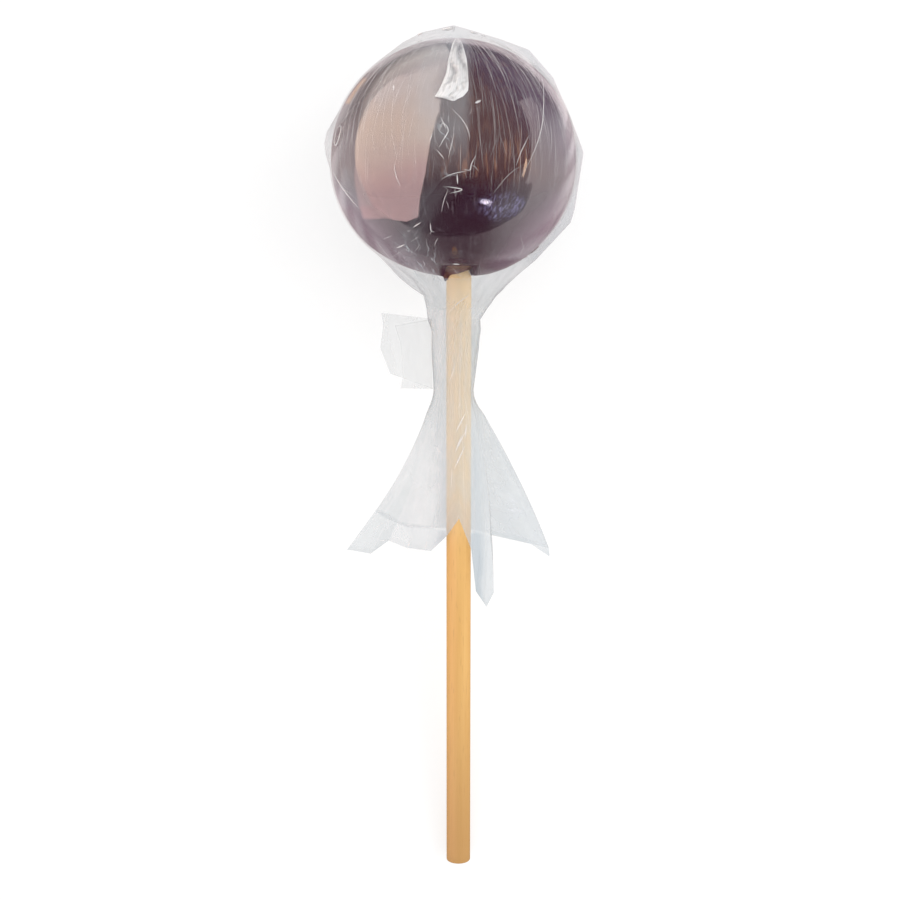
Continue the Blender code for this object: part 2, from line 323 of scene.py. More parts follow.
def sugar_finish():
    """Dark plum sugar: brown in the middle, violet low down and to one side, with drawn-out amber streaks
    painted lighter as a glow through the sugar, and a painted rim glow low on its edge.
    """
    material, tree = new_finish("boiled_sugar")
    places = own_places(tree)
    x, y = add_node(tree, "ShaderNodeSeparateXYZ", {0: places}).outputs[:2]
    streaks = mottle(tree, stretched(tree, places, 1.0, 0.10, 1.0), 900.0, 2.0, 0.6)
    bands = mottle(tree, stretched(tree, places, 0.05, 1.0, 0.3), 650.0, 1.0)
    clouds = mottle(tree, places, 38.0, 2.0)
    height = total(tree, y, product(tree, sums(tree, "SUBTRACT", clouds, 0.5), 12 * MM))
    low = spread(tree, height, -3 * MM, -15 * MM)
    rim_glow = sums(tree, "SUBTRACT", sums(tree, "ABSOLUTE", x), height)
    shades = [
        (spread(tree, total(tree, x, height), 18 * MM, 40 * MM), (0.060, 0.030, 0.062, 1)),
        (low, (0.028, 0.006, 0.016, 1)),
        (spread(tree, height, -24 * MM, -34 * MM), (0.050, 0.015, 0.026, 1)),
        # The lighter violet low on the ball's edge is a painted rim glow: the light that the thin sugar there
        # lets through
        (product(tree, spread(tree, rim_glow, 36 * MM, 50 * MM), spread(tree, height, -2 * MM, -12 * MM)),
         (0.105, 0.045, 0.085, 1)),
    ]
    colour = (0.070, 0.028, 0.030, 1)
    for share, shade in shades:
        colour = tint(tree, share, colour, shade)
    # Amber streaks, most of them in a patch to the right of the middle: streaks in the sugar, painted lighter
    # as a glow of light through it
    middle = product(
        tree, spread(tree, y, -9 * MM, -4 * MM), spread(tree, y, 8 * MM, -1 * MM),
        spread(tree, x, -9 * MM, 5 * MM, 0.0, 0.6), spread(tree, x, 26 * MM, 18 * MM),
    )
    scattered = product(tree, spread(tree, x, 24 * MM, 16 * MM), spread(tree, low, 0.0, 1.0, 0.14, 0.0))
    amber_streak_glow = spread(tree, streaks, 0.50, 0.68, 0.0, total(tree, middle, scattered))
    colour = tint(tree, amber_streak_glow, colour, (0.24, 0.11, 0.07, 1))
    # The skin is rippled in lines on the left, and dull in the hollow where the stick goes in
    lines = product(
        tree, spread(tree, y, -6 * MM, -2 * MM), spread(tree, y, 8 * MM, 2 * MM),
        spread(tree, x, -22 * MM, -14 * MM), spread(tree, x, -2 * MM, -6 * MM),
    )
    rippled = product(tree, spread(tree, bands, 0.35, 0.65), lines)
    skin = raised(tree, sums(tree, "MULTIPLY_ADD", rippled, 0.16, clouds), 0.12, 0.4 * MM)
    beside = sums(tree, "ABSOLUTE", sums(tree, "SUBTRACT", x, STICK_X))
    hollow = product(tree, spread(tree, beside, 6.8 * MM, 4.6 * MM), spread(tree, y, -32.1 * MM, -32.5 * MM))
    dull = sums(tree, "MAXIMUM", hollow, spread(tree, clouds, 0.3, 0.8, 0.02, 0.05))
    end_finish(tree, {
        "Base Color": colour, "Roughness": dull, "IOR": 1.56,
        "Specular IOR Level": spread(tree, hollow, 0.0, 1.0, 0.5, 0.0), "Normal": skin,
    })
    return material


def lay_down(name, mesh, material):
    """Turns a mesh made in the lollipop's own frame into a piece that lies where the solids lie."""
    mesh.transform(lie)
    mesh.name = name
    mesh.shade_smooth()
    mesh.materials.clear()
    mesh.materials.append(material)
    piece = placed(name, mesh)
    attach(piece, "root")
    return piece


blank_ball = sheet_mesh(ball_rows(), True, crown=(0, BALL_HALF_LENGTH, 0), foot=(STICK_X, -SOCKET_DEPTH, 0))
sugar = sugar_finish()
ball_mesh = shaped_by(ripple_tree(), blank_ball, Depth=0.25 * MM, Size=16 * MM, Finish=sugar)
ball = lay_down("sugar_ball", ball_mesh, sugar)
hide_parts("candy")


# ---- The collar and the seam's nibs -------------------------------------------------------------
# A ring of sugar crept a little way down the stick and set there, and a drip ran from it on the left.
# Along the lower right of the mould's seam the sugar broke off in small ragged nibs.

# The collar from the ball down: distance from the stick's axis, then y, in mm
COLLAR_PROFILE = [
    (13.5, -31.9), (11.0, -32.6), (8.5, -33.1), (6.8, -33.5), (5.5, -34.0), (4.7, -34.5), (4.2, -34.8),
    (3.95, -34.9),
]
COLLAR_COLUMNS = 96
DRIP_TURN = 1.15
DRIP_LENGTH = 1.7 * MM
NIBS = 130
NIB_PLACES = [138, 143, 146, 150, 155, 160, 164]  # degrees from the crown


def smooth_line(corners, step):
    """A smooth line through corners, in even steps."""
    corners = np.array(corners, float)
    ends = np.vstack([2 * corners[0] - corners[1], corners, 2 * corners[-1] - corners[-2]])
    made = []
    for a, b, c, d in zip(ends, ends[1:], ends[2:], ends[3:]):
        square, cube = 2 * a - 5 * b + 4 * c - d, 3 * b - a - 3 * c + d
        for t in np.arange(0, 1, step / max(step, np.linalg.norm(c - b))):
            made.append(0.5 * (2 * b + (c - a) * t + square * t**2 + cube * t**3))
    return np.array(made + [corners[-1]])


def collar_rows():
    """The collar's rows of points from the ball down: it hangs lower on the left, and in a drip there."""
    profile = smooth_line(np.array(COLLAR_PROFILE) * MM, 0.25 * MM)
    thinnest = COLLAR_PROFILE[-1][0] * MM
    turn = np.arange(COLLAR_COLUMNS) * 2 * np.pi / COLLAR_COLUMNS
    rows = []
    for radius, y in profile:
        low = ease(-y, 32.5 * MM, 34.4 * MM)
        drip = low * (DRIP_LENGTH * np.exp(-(((turn - DRIP_TURN) / 0.3) ** 2)) + 0.8 * MM * np.sin(turn))
        wave = 0.2 * MM * low * np.sin(3 * turn + 1.0)
        reach = STICK_RADIUS + 0.03 * MM + (radius - thinnest) * (1 + 0.15 * np.sin(2 * turn))
        x = STICK_X - reach * np.sin(turn)
        rows.append(np.stack([x, y - drip - wave, reach * np.cos(turn)], axis=-1))
    return np.array(rows)


def thin_sugar_finish():
    """The same sugar where it is thin: the wood shines through it, so it is a lighter, warmer brown."""
    material, tree = new_finish("thin_sugar")
    clouds = mottle(tree, own_places(tree), 420.0, 3.0, 0.6)
    thick, thin = (0.075, 0.024, 0.026, 1), (0.16, 0.068, 0.062, 1)
    end_finish(tree, {
        "Base Color": tint(tree, spread(tree, clouds, 0.3, 0.7), thick, thin),
        "Roughness": spread(tree, clouds, 0.3, 0.7, 0.25, 0.5), "Specular IOR Level": 0.15,
        "Normal": raised(tree, clouds, 0.3, 0.3 * MM),
    })
    return material


def nib_tree():
    """Geometry nodes that set a small lump of sugar, of a random size, on each of the given points."""
    tree, given = new_shape_tree("seam_nibs", "Smallest", "Largest")
    lump = add_node(tree, "GeometryNodeMeshIcoSphere", {"Radius": 1.0, "Subdivisions": 2}).outputs[0]
    size = add_node(tree, "FunctionNodeRandomValue", {2: given["Smallest"], 3: given["Largest"], "Seed": 5})
    inputs = {"Points": given["Geometry"], "Instance": lump, "Scale": size.outputs[1]}
    lumps = add_node(tree, "GeometryNodeInstanceOnPoints", inputs).outputs[0]
    return end_shape_tree(tree, given, lumps)


def seam_points():
    """Places on the ball's seam, in clusters between the stick and the lower right."""
    rng = np.random.default_rng(21)
    polar = np.radians(rng.choice(NIB_PLACES, NIBS) + rng.normal(0, 1.8, NIBS))
    turn = np.full(NIBS, 1.5 * np.pi) + rng.normal(0.05, 0.012, NIBS)
    reach = ball_radius(polar) + rng.uniform(0.0, 0.2 * MM, NIBS)
    mesh = bpy.data.meshes.new("seam_points")
    mesh.from_pydata([tuple(p) for p in directions(polar, turn) * reach[:, None]], [], [])
    return mesh


collar_mesh = sheet_mesh(collar_rows(), True)
thin_sugar = thin_sugar_finish()
lay_down("sugar_collar", collar_mesh, thin_sugar)
nib_mesh = shaped_by(nib_tree(), seam_points(), Smallest=0.15 * MM, Largest=0.45 * MM, Finish=thin_sugar)
lay_down("seam_nibs", nib_mesh, thin_sugar)


# ---- The stick ---------------------------------------------------------------------------------
# The stick is a turned birch dowel, 5/16 inch thick, with its grain along it and its edges just broken.

STICK_CUT = 1.5 * MM
STICK_COLUMNS = 64
STICK_ROWS = 80
STICK_EDGE = 0.3 * MM


def stick_rows():
    """The stick's rows of points: a straight rod with its edges broken, cut a little short at the foot."""
    turn = np.arange(STICK_COLUMNS) * 2 * np.pi / STICK_COLUMNS
    foot = STICK_END + STICK_CUT
    profile = [(STICK_RADIUS - STICK_EDGE, STICK_TOP)]
    profile += [(STICK_RADIUS, y) for y in np.linspace(STICK_TOP - STICK_EDGE, foot + STICK_EDGE, STICK_ROWS)]
    profile += [(STICK_RADIUS - STICK_EDGE * 0.3, foot + STICK_EDGE * 0.3), (STICK_RADIUS - STICK_EDGE, foot)]
    rows = []
    for radius, y in profile:
        rows.append(np.stack([STICK_X - radius * np.sin(turn), y + 0 * turn, radius * np.cos(turn)], axis=-1))
    return np.array(rows)


def birch_finish():
    """Pale birch: long fibres and short dark pores, duller at the far end, and painted lighter under the film
    to offset the shade there.
    """
    material, tree = new_finish("birch")
    places = own_places(tree)
    y = add_node(tree, "ShaderNodeSeparateXYZ", {0: places}).outputs[1]
    fibres = mottle(tree, stretched(tree, places, 1.0, 0.018, 1.0), 1500.0, 3.0, 0.6)
    figure = mottle(tree, stretched(tree, places, 1.0, 0.05, 1.0), 240.0, 2.0)
    pores = mottle(tree, stretched(tree, places, 1.0, 0.08, 1.0), 2600.0, 0.0)
    shades = [
        (spread(tree, figure, 0.3, 0.7), (0.735, 0.425, 0.130, 1)),
        (spread(tree, fibres, 0.35, 0.7, 0.0, 0.4), (0.62, 0.33, 0.088, 1)),
        (spread(tree, pores, 0.68, 0.76, 0.0, 0.25), (0.40, 0.20, 0.06, 1)),
        (product(tree, spread(tree, y, -150 * MM, STICK_END), 0.85), (0.47, 0.245, 0.072, 1)),
        # Painted light: the wood is lighter near the ball, under the film, to offset the shade of the film
        # and the ball
        (spread(tree, y, -125 * MM, -100 * MM), (0.84, 0.585, 0.285, 1)),
    ]
    colour = (0.655, 0.350, 0.088, 1)
    for share, shade in shades:
        colour = tint(tree, share, colour, shade)
    end_finish(tree, {
        "Base Color": colour, "Roughness": spread(tree, fibres, 0.3, 0.7, 0.5, 0.68),
        "Normal": raised(tree, fibres, 0.25, 0.1 * MM),
    })
    return material


stick_ends = {"crown": (STICK_X, STICK_TOP, 0), "foot": (STICK_X, STICK_END + STICK_CUT, 0)}
stick_mesh = sheet_mesh(stick_rows(), True, **stick_ends)
stick = lay_down("birch_stick", stick_mesh, birch_finish())
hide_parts("stick")


# ---- The film ----------------------------------------------------------------------------------
# The film is one square sheet of clear film laid over the crown. It is drawn tight on the ball,
# folds where it leaves it, is gathered round the stick under the tape, and hangs below as a skirt.

FILM_COLUMNS = 384
HOOD_ROWS = 128
FUNNEL_ROWS = 28
NECK_ROWS = 36
SKIRT_ROWS = 56
FILM_CLEAR = 0.45 * MM
HOOD_END = math.radians(140)

# Where the film folds beyond the ball's edge, seen from +Z: clockwise angle from the crown, and radius
RIM_CORNERS = [
    (0, 40.3), (10, 39.0), (22, 38.9), (35, 40.3), (51, 39.4), (70, 38.4), (87, 40.5), (99, 39.7),
    (112, 40.9), (118, 41.5), (138, 40.2), (150, 42.0), (180, 40.0), (205, 40.2), (224, 37.6),
    (246, 37.6), (265, 38.5), (272, 39.8), (277, 40.4), (282, 40.2), (300, 37.9), (321, 37.6),
    (336, 38.5), (346, 39.4), (360, 40.3),
]  # degrees, mm

# The gathered film round the stick: y, then how far it stands from the stick's axis to the left, to the
# right, in front and behind, in mm
NECK_LEVELS = [
    (-42.0, 10.9, 11.6, 11.5, 11.5), (-46.0, 10.1, 8.8, 6.2, 7.0), (-49.5, 9.6, 6.6, 4.7, 5.5),
    (-53.0, 8.3, 6.8, 4.4, 5.0), (-60.0, 8.3, 6.0, 4.35, 4.8), (-72.0, 7.8, 4.4, 4.35, 4.8),
]

# The skirt's folds, in mm from the stick's axis, going round over the left: x and z where a fold passes
# MID_LEVEL, then x, z and y where it ends at the hem. A z of None lies on the table.
MID_LEVEL = -92.0
SKIRT_FOLDS = [
    (0.0, 4.8, 0.1, 5.6, -112.7), (-2.6, 4.6, -3.8, 4.9, -118.5), (-5.5, 3.0, -9.0, 0.5, -124.5),
    (-8.5, 0.5, -17.1, -5.0, -124.6), (-11.5, -2.0, -23.0, -8.0, -122.9), (-13.5, -4.0, -29.7, None, -129.9),
    (-15.2, -5.5, -37.7, None, -128.5), (-14.8, -7.0, -27.7, -13.0, -114.0),
    (-14.0, -8.0, -24.0, -14.0, -116.7), (-10.5, -8.0, -17.0, -13.0, -119.5),
    (-7.0, -7.5, -11.0, -11.0, -119.3), (-3.5, -6.5, -5.0, -9.5, -119.0),
    (3.0, -6.5, 5.0, -9.5, -119.5), (6.0, -7.5, 10.0, -11.0, -121.0), (9.5, -8.5, 16.0, -13.0, -123.0),
    (14.5, -8.0, 30.8, None, -128.1), (13.2, -7.2, 30.9, None, -130.8), (12.5, -6.5, 24.0, -9.5, -124.4),
    (8.2, -4.5, 10.3, -5.0, -120.3), (7.9, -2.5, 11.3, -2.5, -131.3), (7.5, -1.0, 11.5, -1.0, -138.7),
    (6.6, 0.8, 9.1, 0.5, -143.1), (5.4, 2.2, 5.6, 1.5, -137.6), (3.0, 4.2, 4.0, 4.5, -122.9),
]
LEFT_TIP, RIGHT_TIP = 6.9, 15.5  # where the hem turns to the back, counted in folds
HEM_LIFT = 0.25 * MM
HAIR_MILK_AND_GLINT = 0.10  # how milky the fine hairs are, and the small crossing folds: partly scuffed film, partly painted glints
FOLD_MILK_AND_GLINT = 0.4


def rim_radius(azimuth):
    """How far out the film's folded rim is, on straight edges between its corners."""
    angles, radii = np.array(RIM_CORNERS, float).T
    angles = np.radians(angles)
    places = np.column_stack([radii * np.sin(angles), radii * np.cos(angles)]) * MM
    wrapped = np.mod(azimuth, 2 * np.pi)
    edge = np.clip(np.searchsorted(angles, wrapped, side="right") - 1, 0, len(angles) - 2)
    here, along = places[edge], places[edge + 1] - places[edge]
    ray = np.stack([np.sin(wrapped), np.cos(wrapped)], axis=-1)
    cross = here[..., 0] * along[..., 1] - here[..., 1] * along[..., 0]
    return cross / (ray[..., 0] * along[..., 1] - ray[..., 1] * along[..., 0])


def taut_radius(direction):
    """The film's distance from the ball's centre: on the ball, then straight out from it to the rim."""
    ball_side = ball_radius(np.arccos(direction[..., 1])) + FILM_CLEAR
    rim = np.maximum(rim_radius(np.arctan2(direction[..., 0], direction[..., 1])), ball_side)
    reach = np.arccos(ball_side / rim)
    off_rim = np.sqrt(np.arcsin(direction[..., 2]) ** 2 + math.radians(1.2) ** 2) - math.radians(1.2)
    return ball_side / np.cos(np.maximum(0.0, reach - off_rim))


def uneven(angle, count, seed):
    """An uneven wave round a circle, with about count crests, between about -1 and 1."""
    rng = np.random.default_rng(seed)
    total = 0.0
    for k in range(max(1, int(0.6 * count)), int(1.5 * count) + 1):
        total = total + rng.normal() * np.cos(k * angle + rng.uniform(0, 2 * np.pi))
    return total / np.abs(total).max()


def neck_row(y, turn):
    """The gathered film at one height: an oval round the stick, wider on the side of the tape's flag."""
    levels = np.array(NECK_LEVELS)[::-1]
    left, right, front, back = (np.interp(y / MM, levels[:, 0], levels[:, k]) * MM for k in (1, 2, 3, 4))
    wide = np.where(np.sin(turn) > 0, left, right)
    deep = np.where(np.cos(turn) > 0, front, back)
    return np.stack([STICK_X - wide * np.sin(turn), y + 0 * turn, deep * np.cos(turn)], axis=-1)


def straight_between(row, steps):
    """The row as it would be if it went straight from one fold to the next."""
    folds = np.vstack([row[::steps], row[:1]])
    places = np.arange(len(row)) / steps
    return np.stack([np.interp(places, np.arange(len(folds)), folds[:, k]) for k in range(3)], axis=-1)


def table_z(y):
    """The table's height in the lollipop's own frame, at a place along the stick."""
    return -(lie.translation.z + y * math.sin(lean)) / math.cos(lean)


def skirt_rows(neck_edge):
    """The skirt: flat panels between folds that run from the neck, through MID_LEVEL, to the hem."""
    steps = FILM_COLUMNS // len(SKIRT_FOLDS)
    lines = []
    for k, (mid_x, mid_z, x, z, y) in enumerate(SKIRT_FOLDS):
        start = neck_edge[k * steps]
        height = table_z(y * MM) + HEM_LIFT if z is None else z * MM
        end = np.array([STICK_X + x * MM, y * MM, height])
        passing = (start[1] - MID_LEVEL * MM) / (start[1] - end[1])
        mid = np.array([STICK_X + mid_x * MM, MID_LEVEL * MM, mid_z * MM])
        pull = (mid - (1 - passing) ** 2 * start - passing**2 * end) / (2 * passing * (1 - passing))
        t = (np.arange(1, SKIRT_ROWS + 1) / SKIRT_ROWS)[:, None]
        line = (1 - t) ** 2 * start + 2 * t * (1 - t) * pull + t * t * end
        held = ease(t, -0.06, 0.16)
        line[:, ::2] = start[::2] + (line[:, ::2] - start[::2]) * held
        lines.append(line)
    lines.append(lines[0])
    places = np.arange(FILM_COLUMNS) / steps
    fold = places.astype(int)
    share = (places - fold)[:, None]
    flat = np.stack([lines[f] * (1 - s) + lines[f + 1] * s for f, s in zip(fold, share)], axis=1)
    oval = neck_edge - straight_between(neck_edge, steps)
    fade = (1 - np.arange(1, SKIRT_ROWS + 1) / SKIRT_ROWS)[:, None, None] ** 3
    return flat + oval[None] * fade


def film_rows():
    """The film's rows of points, and which part of it each row is in, from 0 at the crown to 4 at the hem."""
    turn = np.arange(FILM_COLUMNS) * 2 * np.pi / FILM_COLUMNS
    rows, stages = [], []
    for i in range(1, HOOD_ROWS + 1):
        direction = directions(HOOD_END * i / HOOD_ROWS, turn)
        rows.append(direction * taut_radius(direction)[:, None])
        stages.append(i / HOOD_ROWS)
    hood_edge, neck_edge = rows[-1], neck_row(NECK_LEVELS[0][0] * MM, turn)
    for i in range(1, FUNNEL_ROWS + 1):
        rows.append(hood_edge + (neck_edge - hood_edge) * i / FUNNEL_ROWS)
        stages.append(1 + i / FUNNEL_ROWS)
    first, last = NECK_LEVELS[0][0], NECK_LEVELS[-1][0]
    for i in range(1, NECK_ROWS + 1):
        rows.append(neck_row((first + (last - first) * i / NECK_ROWS) * MM, turn))
        stages.append(2 + i / NECK_ROWS)
    rows += list(skirt_rows(rows[-1]))
    stages += [3 + i / SKIRT_ROWS for i in range(1, SKIRT_ROWS + 1)]
    return np.array(rows), np.array(stages)


def outward(rows):
    """The outward unit normal at each point of a sheet that goes round the stick."""
    around = np.roll(rows, -1, axis=1) - np.roll(rows, 1, axis=1)
    down = np.gradient(rows, axis=0)
    normal = np.cross(down, around)
    return normal / np.maximum(np.linalg.norm(normal, axis=-1, keepdims=True), 1e-12)


def gathered(rows, stages):
    """Pleats the film where it is drawn in under the ball, and twists them a little round the stick."""
    turn = (np.arange(FILM_COLUMNS) * 2 * np.pi / FILM_COLUMNS)[None, :]
    stage = stages[:, None]
    twist = 1.1 * ease(stage, 1.0, 3.0) + 0.3 * ease(stage, 3.0, 4.0)
    fine = np.abs(uneven(turn - twist, 30, 3))
    broad = uneven(turn - 0.6 * twist, 9, 8)
    depth = 0.45 * MM * ease(stage, 1.0, 1.8) * (1 - 0.75 * ease(stage, 3.0, 3.35))
    wave = 0.7 * MM * ease(stage, 1.0, 1.5) * (1 - ease(stage, 1.6, 2.2))
    return rows + outward(rows) * (-depth * fine + wave * broad)[..., None]


def kept_clear(rows):
    """Keeps the film off the ball, off the stick and off the table."""
    length = np.linalg.norm(rows, axis=-1)
    polar = np.arccos(np.clip(rows[..., 1] / length, -1, 1))
    least = ball_radius(polar) + 0.2 * MM
    rows = rows * np.maximum(1.0, least / length)[..., None]
    away = np.hypot(rows[..., 0] - STICK_X, rows[..., 2])
    low = rows[..., 1] < -BALL_HALF_LENGTH
    grow = np.where(low, np.maximum(1.0, (STICK_RADIUS + 0.2 * MM) / away), 1.0)
    rows[..., 0] = STICK_X + (rows[..., 0] - STICK_X) * grow
    rows[..., 2] = rows[..., 2] * grow
    rows[..., 2] = np.maximum(rows[..., 2], table_z(rows[..., 1]) + 0.02 * MM)
    return rows


# The lower edge of the skirt's back panels, seen from above, from left to right as x and y in mm: below this
# line the film is single
BACK_HEM = [(-26.0, -113.8), (-22.0, -114.8), (-15.0, -117.0), (-9.1, -116.5), (6.6, -117.7), (11.6, -119.3),
            (17.5, -121.3), (32.5, -128.1)]

# Two layers of film lap over the left of the ball up to LAP_EDGE, a third starts at ARC_EDGE on the right,
# and a small flap ends at FLAP_EDGE. They are lines of x and y in mm, from the crown downwards.
LAP_EDGE = [(4.0, 36.0), (4.0, -0.4), (5.4, -5.1), (1.7, -6.5), (-3.9, -8.1), (-8.3, -14.2), (-12.8, -22.7),
            (-17.8, -36.0)]
FLAP_EDGE = [(-29.5, 0.0), (-29.1, -2.5), (-26.0, -10.3), (-22.9, -17.1)]
ARC_EDGE = [(20.0, 33.0), (26.5, 19.8), (25.9, 9.9), (24.3, 3.3), (21.5, -3.1), (17.5, -6.2), (13.0, -14.0),
            (9.0, -36.0)]


def in_mm(rows):
    """The x, y and z of rows of points, in mm."""
    return rows[..., 0] / MM, rows[..., 1] / MM, rows[..., 2] / MM


def side_of(edge, rows):
    """How far a point is to the right of a line that runs down the shown side, in mm."""
    x, y, _ = in_mm(rows)
    line = np.array(edge)[::-1]
    return x - np.interp(y, line[:, 1], line[:, 0])


def painted_rim_facets(rows):
    """Painted facets round the ball's edge, from -1 to 1: the tight film is hazier and glossier, then clearer
    and duller, by turns, as facets tilted to the light and away from it would look.
    """
    x, y, z = in_mm(rows)
    from_middle = np.hypot(x, y)
    band = np.exp(-(((from_middle - 35.8) / 2.2) ** 2)) * (z > 0)
    return band * np.tanh(3.0 * uneven(np.arctan2(x, y) + 0.05 * from_middle, 16, 9))


def over_candy(rows, stages):
    """1 where the film lies on the candy, and 0 where it stands out beside it or is gathered below it."""
    x, y, z = in_mm(rows)
    ball_edge = ball_radius(np.arctan2(np.abs(x), y)) / MM
    hood = 1 - ease(stages[:, None], 0.97, 1.1)
    return ease(ball_edge - np.hypot(x, y), -0.25, 0.05) * np.where(z > 0, 1.0, hood)


def film_haze_and_painted_light(rows, stages):
    """How milky the film is: clear where it lies on the candy, hazy beside it and where it is gathered, with
    painted shade on the skirt's right and painted facets by the ball's edge.
    """
    stage = stages[:, None]
    x, y, z = in_mm(rows)
    side = np.abs(x - STICK_X / MM)
    past_lap, past_arc, past_flap = (side_of(edge, rows) for edge in (LAP_EDGE, ARC_EDGE, FLAP_EDGE))
    # On the candy: the lap and its lower edge, the third layer, the flap, the crumple and the rim's painted
    # facets
    lapped = 0.04 + 0.03 * ease(y, -8, 0) + 0.17 * ease(y, -3, 8) * ease(x, -16, -6) + 0.10 * ease(y, 22, 30)
    fade = 0.3 + 1.7 * ease(y, 2, 10)
    soft = 0.3 + 3.5 * ease(y, 0, -12)
    crumple = ease(x, -20, -14) * (1 - ease(x, -9, -1)) * (1 - ease(y + 0.25 * x, -30, -22))
    tight = 0.010 + 0.020 * ease(y, -8, 2)
    tight += lapped * (1 - ease(past_lap, -fade, fade))
    tight += 0.085 * ease(past_arc, -soft, soft) * ease(y, 16, 8) * (1 - 0.6 * ease(y, -12, -26))
    tight += 0.06 * np.exp(-(((past_lap - 1.5) / 3.5) ** 2)) * ease(y, -6, -12)
    tight += 0.12 * ease(past_flap, 0.2, -0.2) * ease(y, -16, -14) * (1 - ease(y, -6, -2))
    tight += 0.08 * crumple + 0.10 * painted_rim_facets(rows)
    # Beside the ball, then gathered round the neck
    loose = 0.26 + 0.19 * ease(x, 8, 30) * (1 - ease(stage, 1.0, 1.3)) - 0.08 * ease(x, -37.5, -39)
    loose += 0.05 * uneven(np.arctan2(x, z), 14, 5) * ease(stage, 1.0, 1.4)
    neck = 0.42 + 0.12 * ease(x, 4, 6) * ease(-y, 50, 56) * (1 - ease(-y, 64, 68))
    loose += (neck - loose) * ease(stage, 1.7, 2.4)
    # The skirt: milkiest beside the stick, where its folds crowd, and where the film is single. Its right
    # wing and a strip just right of the stick are hazier, which is painted shade.
    skirt_haze_and_shade = 0.25 + 0.12 * ease(x, 4, 12) + 0.26 * np.exp(-(((side - 4) / 3.5) ** 2))
    skirt_haze_and_shade += 0.20 * np.exp(-(((x - STICK_X / MM - 6) / 2.5) ** 2)) * ease(-y, 70, 80) * (z > -4)
    fold = (np.arange(FILM_COLUMNS) * len(SKIRT_FOLDS) / FILM_COLUMNS)[None, :]
    in_front = (fold < LEFT_TIP) | (fold > RIGHT_TIP)
    single = np.interp(x, *np.array(BACK_HEM).T) - y
    beside_stick = np.exp(-(((side - 4) / 3) ** 2))
    skirt_haze_and_shade += (0.17 + 0.25 * beside_stick) * ease(single, -0.3, 0.5) * in_front
    loose += (skirt_haze_and_shade - loose) * ease(stage, 3.0, 3.5)
    # In front of the stick
    before_stick = (z > 0) * (1 - ease(side, 3.5, 4.4))
    loose += (0.24 + 0.26 * ease(-y, 36, 52) - loose) * before_stick
    haze = loose + (tight - loose) * over_candy(rows, stages)
    return haze + 0.07 * (stage > 4 - 1.5 / SKIRT_ROWS)


def combed_share(rows, stages):
    """How far the film is combed with fine hairs: most over the ball's brown middle, less where gathered."""
    _, y, z = in_mm(rows)
    combed = 1 - 0.35 * (1 - ease(side_of(LAP_EDGE, rows), -1, 1))
    combed = combed * (1 - 0.7 * ease(side_of(ARC_EDGE, rows), -0.5, 0.5) * ease(y, -14, -4))
    combed = combed * (1 - 0.9 * ease(stages, 1.1, 2.2)[:, None])
    return combed * np.where(z > 0, 1.0, 0.4)


def crushed_share(rows):
    """Where the film is crushed into small crossing folds: by the lap's edge and low on the left."""
    x, y, z = in_mm(rows)
    by_lap = 0.7 * ease(x, -6, -3) * (1 - ease(side_of(LAP_EDGE, rows), -1.0, 0.5))
    by_lap = by_lap * ease(y, -20, -8) * (1 - ease(y, 11, 15))
    low_left = ease(x, -20, -15) * (1 - ease(x, -7, -2)) * (1 - ease(y, -27, -20))
    return np.maximum(by_lap, low_left) * (z > 0)


def film_milk_and_glints_group():
    """The film's milkiness and its fine relief: haze, drawn-out hairs and small crossing folds; the hairs and
    the folds are milky partly as scuffed film and partly as painted glints.
    """
    floats = dict.fromkeys(("Haze", "Combed", "Crushed", "Hair Milk And Glint", "Fold Milk And Glint"), "Float")
    outputs = {"Milk": "Float", "Height": "Float"}
    tree, given = new_group("film_milk_and_glints", "ShaderNodeTree", {"Run": "Vector", **floats}, outputs)
    run = given["Run"]
    inputs = {"Vector": run, "Scale": 60.0, "Detail": 1.0}
    sway = add_node(tree, "ShaderNodeTexNoise", inputs).outputs["Color"]
    inputs = {0: sway, 1: (0.003, 0.003, 0.0), 2: run}
    swayed = add_node(tree, "ShaderNodeVectorMath", inputs, operation="MULTIPLY_ADD").outputs[0]
    hairs = mottle(tree, stretched(tree, swayed, 1.0, 1.0, 0.05), 1700.0, 1.0)
    more_hairs = mottle(tree, stretched(tree, swayed, 1.0, 1.0, 0.10), 3200.0, 1.0)
    patches = mottle(tree, run, 130.0)
    # The hairs and the folds are milky partly as scuffs and creases, partly as painted glints
    drawn_hairs_and_glints = sums(tree, "MAXIMUM", spread(tree, hairs, 0.58, 0.74), spread(tree, more_hairs, 0.58, 0.74))
    drawn_hairs_and_glints = product(tree, drawn_hairs_and_glints, spread(tree, patches, 0.38, 0.68, 0.1, 1.0), given["Combed"])
    wander = mottle(tree, stretched(tree, run, 1.0, 1.0, 0.6), 190.0, 1.5, 0.6)
    folds = spread(tree, sums(tree, "ABSOLUTE", sums(tree, "SUBTRACT", wander, 0.5)), 0.0, 0.022, 1.0, 0.0)
    folds = product(tree, folds, given["Crushed"], spread(tree, patches, 0.4, 0.62))
    milk = product(tree, given["Haze"], spread(tree, patches, 0.3, 0.7, 0.9, 1.1))
    milk = sums(tree, "MULTIPLY_ADD", drawn_hairs_and_glints, given["Hair Milk And Glint"], milk)
    milk = sums(tree, "MULTIPLY_ADD", folds, given["Fold Milk And Glint"], milk, clamp=True)
    add_node(tree, "NodeGroupOutput", {"Milk": milk, "Height": folds})
    return tree


def marked(tree, name, output="Fac"):
    """What is written on a mesh's points under a name; 0 where nothing is."""
    return add_node(tree, "ShaderNodeAttribute", attribute_name=name).outputs[output]


